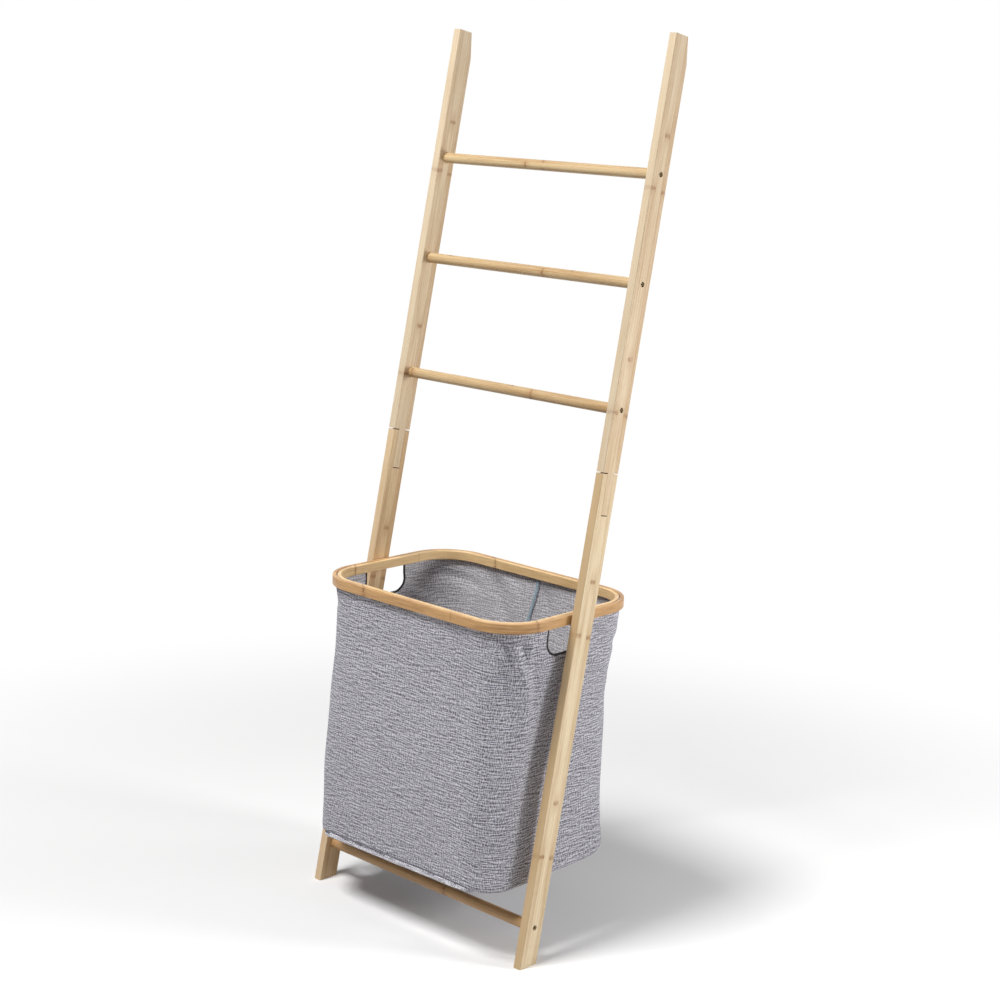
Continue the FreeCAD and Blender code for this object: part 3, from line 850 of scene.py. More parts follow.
HOLLOWS = (
    # The front and the back bulge a little
    Hollow(0.5, 0.32, (0.42, 0.20), 0.0035),
    Hollow(4.5, 0.32, (0.42, 0.20), 0.0030),
    # The corners hang in, most of all the back right one
    Hollow(3.5, 0.47, (0.80, 0.090), -0.0150),
    Hollow(3.5, 0.30, (0.80, 0.130), -0.0080),
    Hollow(1.5, 0.48, (0.60, 0.120), -0.0070),
    Hollow(5.5, 0.48, (0.60, 0.120), -0.0050),
    Hollow(7.5, 0.50, (0.55, 0.100), -0.0045),
    # The short sides hang in half way down
    Hollow(2.5, 0.36, (0.40, 0.170), -0.0040),
    Hollow(6.5, 0.36, (0.40, 0.170), -0.0030),
)

WAVES = (Wave(0.0007, 9, 11.0, 0.6), Wave(0.0005, 23, -31.0, 2.1), Wave(0.0004, 14, 47.0, 4.0))


@dataclass(frozen=True)
class BagShape:
    """The bag's wall as a surface over a lap and a height.

    A lap counts walls and corners: 0 to 1 runs along the front from left to right, 1 to 2 round the corner,
    2 to 3 along the right side, and so on up to 8. Places follow the middle of the cloth.

    Attributes:
        half_width: the wall's reach along X.
        half_depth: the wall's reach along Y.
        centre_y: y of the bag's middle.
        top: the cloth's upper edge, between the rim's bands.
        rim_bottom: the bands' lower edge.
        bottom: the cloth's lower edge.
        hole_top: a hand hole's upper edge.
        hole_bottom: a hand hole's lower edge.
        seam_x: where the wall is sewn together in the back.
        left_hole: y of the left hand hole's middle.
        right_hole: y of the right hand hole's middle.
        rim_corner: corner radius at the rim.
        floor_corner: corner radius at the bottom.
        hole_half: half a hand hole's width.
        hole_corner: radius of a hole's lower corners.
        drift: how far the bag's bottom hangs forward of its rim.
        sway: how far it hangs to the left.
        narrowing: how much each short side comes in at the bottom.
        twist: how far the bottom is turned against the rim.
        droop: how much lower the bottom's left edge hangs than its right.
        hang: distances below the bands and above the bottom between which all that comes about.
        tight_roll: radius with which the wall turns under where the piping shows.
        loose_roll: the same where the piping lies underneath.
        corner_roll: how much wider the rolls at the back right and front left corners are.
        rolled_corners: lap and spread of those two corners.
        goes_under: laps between which the piping goes under the bag.
        comes_out: laps between which it comes out again.
        grow: shares of a fold's length between which it grows.
        die: shares of its length at which it is gone, and whole.
        clamped: distances below the bands where folds start, and where they are whole.
        sewn: distances above the bottom between which folds grow to their full height.
        flat_share: what is left of a fold at the bottom.
        pinch: height above the bottom, half breadth and depth of the furrow over the piping.
        short_out: the most that the cloth stands out on the short sides.
        long_out: what it may stand out more than that on the long ones.
        out_laps: laps from a short side's middle between which that grows.
        cloth: the cloth's thickness.
    """

    half_width: float
    half_depth: float
    centre_y: float
    top: float
    rim_bottom: float
    bottom: float
    hole_top: float
    hole_bottom: float
    seam_x: float
    left_hole: float
    right_hole: float
    rim_corner: float = 0.0816
    floor_corner: float = 0.0592
    hole_half: float = 0.050
    hole_corner: float = 0.026
    drift: float = 0.0125
    sway: float = 0.0030
    narrowing: float = 0.0105
    twist: float = 0.004
    droop: float = 0.005
    hang: Pair = (0.02, 0.12)
    tight_roll: float = 0.0025
    loose_roll: float = 0.0105
    corner_roll: float = 0.0150
    rolled_corners: tuple[Pair, Pair] = ((3.5, 0.55), (7.3, 0.45))
    goes_under: Pair = (0.84, 1.25)
    comes_out: Pair = (6.8, 7.8)
    grow: Pair = (-0.18, 0.25)
    die: Pair = (1.2, 0.55)
    clamped: Pair = (0.001, 0.030)
    sewn: Pair = (-0.004, 0.060)
    flat_share: float = 0.4
    pinch: Triple = (0.0085, 0.0024, 0.0036)
    short_out: float = 0.0008
    long_out: float = 0.0080
    out_laps: Pair = (0.7, 1.4)
    cloth: float = 0.0015

    def corner(self, height: Array) -> Array:
        """The corner radius at a height: the rim's down to the bands' lower edge, then falling evenly."""
        share = np.clip((self.rim_bottom - height) / (self.rim_bottom - self.bottom), 0.0, 1.0)
        return self.rim_corner + (self.floor_corner - self.rim_corner) * share

    def outline(self, lap: Array, height: Array) -> tuple[Array, Array]:
        """The smooth wall with no folds: a rounded rectangle whose corners sharpen downwards.

        Args:
            lap: laps.
            height: heights.

        Returns:
            Places in plan from the bag's middle, and outward directions.
        """
        radius = self.corner(height)
        part = np.floor(lap).astype(int) % LAPS
        share = lap - np.floor(lap)
        side = part // 2
        straight = part % 2 == 0
        faces_front = side % 2 == 0
        reach = np.where(faces_front, self.half_depth, self.half_width) - radius
        run = np.where(faces_front, self.half_width, self.half_depth) - radius
        angle = np.where(straight, 0.0, share * QUARTER)[..., None]
        travel = np.where(straight, (2 * share - 1) * run, run)[..., None]
        out = SIDE_NORMALS[side] * np.cos(angle) + SIDE_RUNS[side] * np.sin(angle)
        plan = SIDE_NORMALS[side] * reach[..., None] + SIDE_RUNS[side] * travel + out * radius[..., None]
        return plan, out

    def lap_on(self, side: Side, along: Array, height: Array) -> Array:
        """The lap of a place on a wall, from its distance from the wall's middle in the order of laps."""
        reach = self.half_width if side in (Side.FRONT, Side.BACK) else self.half_depth
        return 2 * side.value + 0.5 + 0.5 * along / (reach - self.corner(height))

    def lengths(self) -> Array:
        """Lengths of the eight walls and corners, half way down.

        Returns:
            The lengths in the order of laps.
        """
        radius = float(self.corner(np.array(0.5 * (self.rim_bottom + self.bottom))))
        bend = QUARTER * radius
        front, side = 2 * (self.half_width - radius), 2 * (self.half_depth - radius)
        return np.array((front, bend, side, bend, front, bend, side, bend))

    def around(self, lap: Array) -> Array:
        """Distance round the bag to a lap, half way down; laps past 8 run on.

        Args:
            lap: laps.

        Returns:
            Distances.
        """
        lengths = self.lengths()
        starts = np.concatenate(((0.0,), np.cumsum(lengths)[:-1]))
        part = np.floor(lap).astype(int)
        turns = part // LAPS
        return turns * lengths.sum() + starts[part % LAPS] + (lap - part) * lengths[part % LAPS]

    def folds(self, lap: Array, height: Array) -> Array:
        """How far folds, dents and small unevenness move the cloth outwards.

        A fold is a bell curve of the distance from a line, faded at both ends. A hollow is one in lap
        and height. The unevenness is a few slow waves. All fade out where the bands clamp the cloth.

        Args:
            lap: laps.
            height: heights.

        Returns:
            Outward moves.
        """
        place = self.around(lap)
        whole = self.lengths().sum()
        move = np.zeros(np.broadcast(lap, height).shape)
        for fold in FOLDS:
            start = self.around(np.array(2.0 * fold.side.value + 0.5)) + fold.start[0]
            reach = np.array((fold.end[0] - fold.start[0], fold.end[1] - fold.start[1]))
            ahead = (place - start + whole / 2) % whole - whole / 2
            rise = height - fold.start[1]
            length = np.hypot(*reach)
            share = (ahead * reach[0] + rise * reach[1]) / length**2
            off = (ahead * reach[1] - rise * reach[0]) / length
            fade = ease(share, *self.grow) * ease(share, *self.die)
            move = move + fold.height * fade * np.exp(-((off / fold.width) ** 2))
        for hollow in HOLLOWS:
            ahead = ((lap - hollow.lap + LAPS / 2) % LAPS - LAPS / 2) / hollow.spread[0]
            rise = (height - hollow.height) / hollow.spread[1]
            move = move + hollow.depth * np.exp(-(ahead**2) - rise**2)
        turn = 2 * np.pi * place / whole
        for wave in WAVES:
            move = move + wave.height * np.sin(wave.count * turn + wave.slant * height + wave.start)
        clamp = ease(height, self.rim_bottom - self.clamped[0], self.rim_bottom - self.clamped[1])
        sewn = ease(height, self.bottom + self.sewn[0], self.bottom + self.sewn[1])
        move = move * clamp * (self.flat_share + (1.0 - self.flat_share) * sewn)
        level, breadth, depth = self.pinch
        pinch = np.exp(-(((height - self.bottom - level) / breadth) ** 2)) * (1.0 - self.looseness(lap))
        return np.minimum(move - depth * pinch, self.most_out(lap))

    def most_out(self, lap: Array) -> Array:
        """The most that the cloth may stand out: little on the short sides, which pass the pegs."""
        ahead = np.abs((lap - 0.5) % 4.0 - 2.0)
        return self.short_out + self.long_out * ease(ahead, *self.out_laps)

    def place(self, lap: Array, height: Array, out: Union[float, Array] = 0.0) -> Array:
        """Places on the finished wall: the outline moved by folds, rolled under, and hung out of line.

        Args:
            lap: laps.
            height: heights.
            out: distance outwards from the middle of the cloth.

        Returns:
            Places, three numbers each.
        """
        plan, normal = self.outline(lap, height)
        turn, rise, inward = self.rolled(lap, height)
        outward = self.folds(lap, height) - inward + out * np.cos(turn)
        plan = plan + normal * outward[..., None]
        low = ease(height, self.rim_bottom - self.hang[0], self.bottom + self.hang[1])
        narrow = 1.0 - self.narrowing * low / self.half_width
        x = plan[..., 0] * narrow - self.twist * low * plan[..., 1] - self.sway * low
        y = plan[..., 1] + self.twist * low * plan[..., 0] - self.drift * low + self.centre_y
        fall = 0.5 * self.droop * low * (plan[..., 0] / self.half_width - 1.0)
        return np.stack((x, y, self.bottom + rise + fall - out * np.sin(turn)), axis=-1)

    def looseness(self, lap: Array) -> Array:
        """0 along the front, where the piping shows, and 1 from the front right corner to the left side."""
        ahead = lap % LAPS
        return ease(ahead, *self.goes_under) * ease(ahead, *self.comes_out[::-1])

    def rolled(self, lap: Array, height: Array) -> tuple[Array, Array, Array]:
        """How the wall turns under at its lower edge: a quarter circle, with the rest of the wall above it.

        Args:
            lap: laps.
            height: heights, counted along the cloth from its lower edge.

        Returns:
            The turn from upright, the height above the bottom, and the distance inwards.
        """
        radius = self.tight_roll + (self.loose_roll - self.tight_roll) * self.looseness(lap)
        for corner, spread in self.rolled_corners:
            radius = radius + self.corner_roll * np.exp(-(((lap % LAPS - corner) / spread) ** 2))
        arc = QUARTER * radius
        tall = self.top - self.bottom
        run = height - self.bottom
        turn = QUARTER * np.clip(1.0 - run / arc, 0.0, 1.0)
        above = np.maximum(run - arc, 0.0) * (tall - radius) / (tall - arc)
        return turn, radius * (1.0 - np.sin(turn)) + above, radius * (1.0 - np.cos(turn))

    def hole_middle(self, side: Side) -> float:
        """Distance along a wall from its middle to its hand hole's middle, in the order of laps."""
        return self.right_hole - self.centre_y if side is Side.RIGHT else self.centre_y - self.left_hole

    def hole_distance(self, along: Array, height: Array) -> Array:
        """Signed distance to a hand hole's edge, negative inside: a box rounded at its lower corners.

        Args:
            along: distance from the hole's middle.
            height: heights.

        Returns:
            Distances.
        """
        high = self.hole_top + 2 * self.hole_corner
        middle = 0.5 * (high + self.hole_bottom)
        across = np.abs(along) - (self.hole_half - self.hole_corner)
        up = np.abs(height - middle) - (0.5 * (high - self.hole_bottom) - self.hole_corner)
        outside = np.hypot(np.maximum(across, 0.0), np.maximum(up, 0.0))
        box = outside + np.minimum(np.maximum(across, up), 0.0) - self.hole_corner
        return np.maximum(box, height - self.hole_top)

    def hole_edge(self, count: int) -> tuple[Array, Array, Array, Array]:
        """A hand hole's edge from one upper end round to the other: two straights, two arcs and a floor.

        Args:
            count: number of places.

        Returns:
            Distances along the wall, heights, and the two parts of the direction away from the hole.
        """
        drop = self.hole_top - self.hole_bottom - self.hole_corner
        bend = QUARTER * self.hole_corner
        level = 2 * (self.hole_half - self.hole_corner)
        ends = np.cumsum((drop, bend, level, bend, drop))
        run = np.linspace(0.0, ends[-1], count)
        angle = np.clip((run - ends[0]) / bend, 0.0, 1.0) + np.clip((run - ends[2]) / bend, 0.0, 1.0)
        angle = np.pi + QUARTER * angle
        centre = np.clip(run - ends[1], 0.0, level) - 0.5 * level
        fall = np.clip(run, 0.0, drop) - np.clip(run - ends[3], 0.0, drop)
        along = centre + self.hole_corner * np.cos(angle)
        height = self.hole_top - fall + self.hole_corner * np.sin(angle)
        return along, height, np.cos(angle), np.sin(angle)


def unit(vectors: Array) -> Array:
    """Directions of length one, a row for each row."""
    return vectors / np.linalg.norm(vectors, axis=1, keepdims=True)


@dataclass(frozen=True)
class Bag:
    """The laundry bag's wall, bottom, piping, seam and hand hole tapes, and the stiff board in its bottom.

    Attributes:
        shape: the wall's surface.
        cloth: finish of the bag's cloth.
        inside: the same cloth made lighter, painted light for the light that comes through the thin cloth
            into the bag; it goes on the wall's inner face and on the piping.
        tape: finish of the hand holes' binding.
        thread: finish of the back seam's overlocked edge.
        stiff: finish of the board.
        body: the body that the pieces ride on.
        steps: breadth of the wall's faces in each of the walls and corners.
        plain: height below which the wall's rows are broader.
        welt: height above the bottom below which they are narrow again.
        rows: numbers of rows down to those two heights and to the bottom.
        nudge: step over which the slope of the distance to a hole is measured.
        passes: how often the places beside a hole are drawn to its edge.
        ring: places round the bottom and the board.
        near: distances of the bottom's outer rings from its edge.
        far: places from there in to the hub; its other rings lie on all but the first and last.
        hub: share of the way out from the middle that the rings close in on.
        level_within: distance from its edge within which the bottom comes level.
        board_gap: from the bag's lower edge to the board.
        board_bevel: share of the board's reach that its bevel takes, and the bevel's height.
        cord: the piping's radius.
        cord_places: places along the piping, and round it.
        cord_turn: share of the tight roll at which the piping is sewn on where it shows.
        cord_out: radii from the cloth's face to the piping's middle, where it shows and where it lies under.
        seam_wave: how far the seam swings, the height where that starts, and its length.
        seam_fade: heights between which the wave grows.
        seam_rows: places along the seam.
        seam_gap: from the wall's inner face to the middle of the seam allowance.
        seam_profile: half the allowance's thickness, its profile's power and number of points.
        stitch: from one stitch of the overlock to the next.
        stitch_step: from one place along its thread to the next.
        stitch_sweep: how far the thread swings sideways, in widths of the allowance.
        stitch_out: from the allowance's middle to the thread's, and how far that swings.
        thread_size: the thread's radius.
        thread_points: points of its profile.
        tape_reach: from a hand hole's edge to the middle of its tape.
        tape_places: places along a tape.
        tape_profile: half a tape's breadth and thickness, its profile's power and number of points.
    """

    shape: BagShape
    cloth: bpy.types.Material
    inside: bpy.types.Material
    tape: bpy.types.Material
    thread: bpy.types.Material
    stiff: bpy.types.Material
    body: str = "basket"
    steps: tuple[float, ...] = (0.0045, 0.0024, 0.0042, 0.0055, 0.0060, 0.0055, 0.0052, 0.0050)
    plain: float = 0.40
    welt: float = 0.016
    rows: tuple[int, int, int] = (74, 42, 14)
    nudge: float = 1e-5
    passes: int = 4
    ring: int = 192
    near: tuple[float, ...] = (0.0, 0.002, 0.004, 0.006, 0.009, 0.012)
    far: int = 34
    hub: float = 0.01
    level_within: float = 0.010
    board_gap: float = 0.0040
    board_bevel: Pair = (0.003, 0.0006)
    cord: float = 0.0022
    cord_places: tuple[int, int] = (360, 12)
    cord_turn: float = 0.75
    cord_out: Pair = (0.5, -0.9)
    seam_wave: Triple = (0.012, 0.55, 0.26)
    seam_fade: Pair = (0.25, 0.45)
    seam_rows: int = 110
    seam_gap: float = 0.0008
    seam_profile: tuple[float, float, int] = (0.0006, 0.35, 16)
    stitch: float = 0.0034
    stitch_step: float = 0.0005
    stitch_sweep: float = 0.42
    stitch_out: Pair = (0.0011, 0.0003)
    thread_size: float = 0.0006
    thread_points: int = 6
    tape_reach: float = 0.0016
    tape_places: int = 140
    tape_profile: tuple[float, float, float, int] = (0.0022, 0.0014, 0.6, 14)

    def dress(self) -> list[bpy.types.Object]:
        """Returns:
            The pieces.
        """
        shape = self.shape
        wall = self.wall()
        bottom = self.bottom()
        board = self.board()
        piping = self.piping()
        seam, overlock = self.seam()
        tapes = [self.hole_tape(name, side) for name, side in (("left", Side.LEFT), ("right", Side.RIGHT))]
        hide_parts("bag_sleeve")
        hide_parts("bag_bottom_panel")
        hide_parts("bag_base_board")
        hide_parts("bag_bottom_piping")
        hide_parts("bag_back_seam")
        for tape, name in zip(tapes, ("handle_tape_left", "handle_tape_right")):
            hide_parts(name)
        pieces = [wall, bottom, board, piping, seam, overlock, *tapes]
        for piece in pieces:
            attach(piece, self.body)
        around = float(shape.lengths().sum())
        return pieces

    def thicken(self, piece: bpy.types.Object) -> bpy.types.Modifier:
        """Gives a sheet the cloth's thickness, half of it to each side.

        Args:
            piece: the sheet.

        Returns:
            The modifier.
        """
        thick = piece.modifiers.new("thickness", "SOLIDIFY")
        thick.thickness = self.shape.cloth
        thick.offset = 0.0
        return thick

    def wall(self) -> bpy.types.Object:
        """The wall: a grid over lap and height, opened at the hand holes, then given the cloth's thickness.

        Returns:
            The piece, which has the lighter inner finish, painted light, on its inner face.
        """
        shape = self.shape
        counts = np.round(shape.lengths() / self.steps).astype(int)
        laps = np.concatenate([part + np.arange(count) / count for part, count in enumerate(counts)])
        seam = float(shape.lap_on(Side.BACK, np.array(-shape.seam_x), np.array(shape.bottom)))
        first = int(np.argmin(np.abs(laps - seam)))
        laps = np.concatenate((laps[first:], laps[:first] + LAPS))
        welt = shape.bottom + self.welt
        heights = np.concatenate((
            np.linspace(shape.top, self.plain, self.rows[0], endpoint=False),
            np.linspace(self.plain, welt, self.rows[1], endpoint=False),
            np.linspace(welt, shape.bottom, self.rows[2]),
        ))
        lap, height = np.meshgrid(laps, heights)
        faces, _, column = grid_faces(len(heights), len(laps), False)
        kept, lap, height = self.open_holes(lap, height, faces)
        points = shape.place(lap, height).reshape(-1, 3)
        around = shape.around(np.append(laps, laps[0] + LAPS))
        shifts = (shape.around(lap) - shape.around(laps)).ravel()
        flat = np.stack((around[column] + shifts[faces], height.ravel()[faces]), axis=-1)[kept]
        used, faces = np.unique(faces[kept], return_inverse=True)
        faces = faces.reshape(-1, 4)[:, ::-1]
        piece = Surface(points[used], faces, flat[:, ::-1]).piece("bag_wall_cloth", self.cloth)
        piece.data.materials.append(self.inside)
        self.thicken(piece).material_offset = 1
        return piece

    def open_holes(self, lap: Array, height: Array, faces: Array) -> tuple[Array, Array, Array]:
        """Drops the faces inside the hand holes and draws the faces beside them up to the holes' edges.

        Args:
            lap: the grid's laps.
            height: the grid's heights.
            faces: the grid's faces.

        Returns:
            Which faces stay, and the moved laps and heights.
        """
        shape, nudge = self.shape, self.nudge
        kept = np.ones(len(faces), dtype=bool)
        number = np.arange(lap.size).reshape(lap.shape)
        for side in (Side.LEFT, Side.RIGHT):
            run = 2 * (shape.half_depth - shape.corner(height))
            along = (lap % LAPS - 2 * side.value - 0.5) * run - shape.hole_middle(side)
            on_side = np.floor(lap % LAPS) == 2 * side.value
            distance = np.where(on_side, shape.hole_distance(along, height), 1.0).ravel()
            inside = distance[faces].mean(axis=1) < 0.0
            kept &= ~inside
            edge = np.isin(number, faces[inside]) & np.isin(number, faces[~inside])
            for _ in range(self.passes):
                here = shape.hole_distance(along, height)
                slope_along = (shape.hole_distance(along + nudge, height) - here) / nudge
                slope_up = (shape.hole_distance(along, height + nudge) - here) / nudge
                along = np.where(edge, along - here * slope_along, along)
                height = np.where(edge, height - here * slope_up, height)
            run = 2 * (shape.half_depth - shape.corner(height))
            start = np.floor(lap / LAPS) * LAPS + 2 * side.value + 0.5
            lap = np.where(edge, start + (along + shape.hole_middle(side)) / run, lap)
        return kept, lap, height

    def spokes(self) -> tuple[Array, Array]:
        """Lines from the middle of the hanging bottom out to the wall's lower edge.

        Returns:
            The middle, and the lines from there to places all round the edge.
        """
        shape = self.shape
        laps = np.linspace(0.0, LAPS, self.ring, endpoint=False)
        middle = np.array((-shape.sway, shape.centre_y - shape.drift, shape.bottom))
        return middle, shape.place(laps, np.full(laps.shape, shape.bottom)) - middle

    def bottom(self) -> bpy.types.Object:
        """The bottom: rings drawn in from the wall's lower edge, which soon lie level under the board.

        Returns:
            The piece.
        """
        middle, spokes = self.spokes()
        length = np.linalg.norm(spokes[:, :2], axis=1)
        inset = np.array(self.near)[:, None] / length
        far = np.linspace(0.0, 1.0, self.far)[1:-1, None]
        share = 1.0 - np.concatenate((inset, inset[-1:] * (1.0 - far) + (1.0 - self.hub) * far))
        points = middle + spokes * share[..., None]
        level = ease((1.0 - share) * length, 0.0, self.level_within)
        points[..., 2] = middle[2] + spokes[:, 2] * (1.0 - level)
        faces, _, _ = grid_faces(len(share), self.ring, False)
        cap = cap_faces(self.ring) + (len(share) - 1) * self.ring
        faces = np.concatenate((faces, cap))[:, ::-1]
        points = points.reshape(-1, 3)
        piece = Surface(points, faces, points[faces][..., :2]).piece("bag_bottom_cloth", self.cloth)
        self.thicken(piece)
        return piece

    def board(self) -> bpy.types.Object:
        """The stiff board: the outline of the bag's lower edge, drawn in a little, with the board's height.

        Returns:
            The piece.
        """
        middle, spokes = self.spokes()
        reach = 1.0 - self.board_gap / np.linalg.norm(spokes[:, :2], axis=1)
        low, high = (corner[2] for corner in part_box("bag_base_board"))
        drawn, bevel = self.board_bevel
        shares = np.array((self.hub, 1.0 - drawn, 1.0, 1.0, 1.0 - drawn, self.hub))
        heights = np.array((low, low, low + bevel, high - bevel, high, high))
        points = middle + spokes * (shares[:, None] * reach)[..., None]
        points[..., 2] = heights[:, None]
        faces, _, _ = grid_faces(len(shares), self.ring, False)
        cap = cap_faces(self.ring)
        faces = np.concatenate((faces, cap[:, ::-1], cap + (len(shares) - 1) * self.ring))
        points = points.reshape(-1, 3)
        return Surface(points, faces, points[faces][..., :2]).piece("bag_stiff_board", self.stiff)

    def piping(self) -> bpy.types.Object:
        """The piping: a thin round cord sewn along the wall's lower edge, which rolls under with it.

        Returns:
            The piece.
        """
        shape = self.shape
        laps = np.linspace(0.0, LAPS, self.cord_places[0], endpoint=False)
        shown = 1.0 - shape.looseness(laps)
        height = shape.bottom + self.cord_turn * QUARTER * shape.tight_roll * shown
        over, under = self.cord_out
        out = 0.5 * shape.cloth + self.cord * (over * shown + under * (1.0 - shown))
        path = shape.place(laps, height, out)
        _, normal = shape.outline(laps, height)
        side = np.pad(normal, ((0, 0), (0, 1)))
        up = np.broadcast_to((0.0, 0.0, 1.0), side.shape)
        profile = rounded_profile(self.cord, self.cord, 1.0, self.cord_places[1])
        # The cord takes the lighter cloth that is painted light for the bag's inside.
        return tube(path, side, up, profile, True).piece("bag_bottom_cord", self.inside)

    def seam_line(self, height: Array) -> Array:
        """Distance along the back wall to the seam: a slow wave near the rim that dies out further down.

        Args:
            height: heights.

        Returns:
            Distances from the wall's middle, in the order of laps.
        """
        swing, start, length = self.seam_wave
        wave = swing * np.sin(2 * np.pi * (height - start) / length) * ease(height, *self.seam_fade)
        return -self.shape.seam_x - wave

    def seam(self) -> tuple[bpy.types.Object, bpy.types.Object]:
        """The back seam: its allowance folded flat inside the wall, and the overlock thread over it.

        Returns:
            The allowance and the thread.
        """
        shape = self.shape
        low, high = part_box("bag_back_seam")
        width = high[0] - low[0]
        heights = np.linspace(low[2], high[2], self.seam_rows)
        inward = -0.5 * shape.cloth - self.seam_gap
        path = shape.place(shape.lap_on(Side.BACK, self.seam_line(heights), heights), heights, inward)
        across = np.broadcast_to((1.0, 0.0, 0.0), path.shape)
        back = np.broadcast_to((0.0, 1.0, 0.0), path.shape)
        profile = rounded_profile(0.5 * width, *self.seam_profile)
        allowance = tube(path, across, back, profile, False).piece("bag_seam_allowance", self.cloth)

        place = np.arange(heights[0], heights[-1], self.stitch_step)
        turns = 2 * np.pi * place / self.stitch
        sweep = self.stitch_sweep * width * np.sin(turns)
        lap = shape.lap_on(Side.BACK, self.seam_line(place) + sweep, place)
        gap, wave = self.stitch_out
        path = shape.place(lap, place, inward - gap - wave * np.cos(turns))
        ahead = unit(np.gradient(path, axis=0))
        side = unit(np.cross(ahead, np.broadcast_to((0.0, 1.0, 0.0), path.shape)))
        profile = rounded_profile(self.thread_size, self.thread_size, 1.0, self.thread_points)
        thread = tube(path, side, np.cross(side, ahead), profile, False)
        return allowance, thread.piece("bag_seam_overlock", self.thread)

    def hole_tape(self, name: str, side: Side) -> bpy.types.Object:
        """The tape folded over a hand hole's edge: a flat rounded profile carried along the edge.

        Args:
            name: left or right.
            side: the wall with the hole.

        Returns:
            The piece.
        """
        shape = self.shape
        along, height, away_along, away_up = shape.hole_edge(self.tape_places)
        along = along + shape.hole_middle(side) + self.tape_reach * away_along
        height = height + self.tape_reach * away_up
        path = shape.place(shape.lap_on(side, along, height), height)
        out = np.broadcast_to((*SIDE_NORMALS[side.value], 0.0), path.shape)
        away = np.column_stack((away_along[:, None] * SIDE_RUNS[side.value], away_up))
        profile = rounded_profile(*self.tape_profile)[:, ::-1]
        return tube(path, out, away, profile, False).piece(f"hand_hole_tape_{name}", self.tape)


@dataclass(frozen=True)
class Frame:
    """The ladder's rigid pieces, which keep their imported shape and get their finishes.

    Attributes:
        nodes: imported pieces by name.
        foot: y of the rails' front edge on the floor.
    """

    nodes: dict[str, bpy.types.Object]
    foot: float

    def finishes(self) -> dict[str, bpy.types.Material]:
        """Makes the finishes.

        Returns:
            Materials by slot, and by node where a piece has a finish of its own.
        """
        rail = Bamboo(
            "rail_bamboo", Grain.UP_THE_RAIL, pale=(234, 212, 178), deep=(196, 160, 116),
            joint=(166, 122, 82), strip=0.0145, joint_spacing=0.40, joint_height=0.0060, foot=self.foot,
        )
        rung = Bamboo(
            "rung_bamboo", Grain.ALONG_THE_RUNG, pale=(218, 192, 148), deep=(176, 138, 92),
            joint=(146, 100, 64), strip=0.0066, joint_spacing=0.31, joint_height=0.0036,
        )
        band = Bamboo(
            "band_bamboo", Grain.ROUND_THE_RIM, pale=(212, 168, 114), deep=(154, 106, 62),
            joint=(128, 86, 50), strip=0.030, joint_spacing=0.46, joint_height=0.0020, fibre=(0.0014, 0.05),
        )
        kinds = {
            "rail_bamboo": rail,
            # Lower right rail: its paler tone is painted light on its brightly lit outer face, and its deep
            # brown narrow faces are painted shade, standing for the bag's shadow on them.
            "lower_rail_right": replace(
                rail, name="lower_right_rail_painted_light_and_shade", pale=(242, 223, 188), deep=(206, 174, 130),
                edge=(195, 164, 121), edge_weight=0.75,
            ),
            # Lower left rail: a warmer, darker copy of the rails' bamboo, painted shade for the bag's shadow
            # round the lower rail.
            "lower_rail_left": replace(
                rail, name="lower_left_rail_painted_shade", pale=(232, 203, 160), deep=(192, 152, 104),
                edge=(222, 202, 172),
            ),
            "rung_bamboo": rung,
            "band_bamboo": band,
            # Inner band: a paler copy of the band's bamboo, painted light for the brighter inside of the rim.
            "rim_inner_band": replace(
                band, name="inner_band_painted_light", pale=(240, 206, 154), deep=(202, 162, 110)
            ),
            # Base rung: a darker, browner copy of the rungs' bamboo, painted shade for the bag's shadow on
            # it.
            "base_rung": replace(
                rung, name="base_rung_painted_shade", pale=(198, 158, 110), deep=(158, 116, 70), joint=(130, 92, 56)
            ),
            "screw_steel": Steel("screw_steel", (146, 132, 104), gloss=0.28, wear=0.35),
            "peg_steel": Steel("peg_steel", (196, 192, 186), gloss=0.16, wear=0.30),
        }
        return {place: kind.material() for place, kind in kinds.items()}

    def dress(self, subparts: list[dict[str, str]]) -> list[bpy.types.Object]:
        """Gives each rigid piece its own finish, or that of its slot.

        Args:
            subparts: the record's list of nodes and their slots.

        Returns:
            The pieces that were dressed.
        """
        finishes = self.finishes()
        dressed = []
        for entry in subparts:
            finish = finishes.get(entry["node"], finishes.get(entry["material_slot"]))
            if finish is None:
                continue
            piece = self.nodes[entry["node"]]
            piece.data.materials.clear()
            piece.data.materials.append(finish)
            dressed.append(piece)
        return dressed


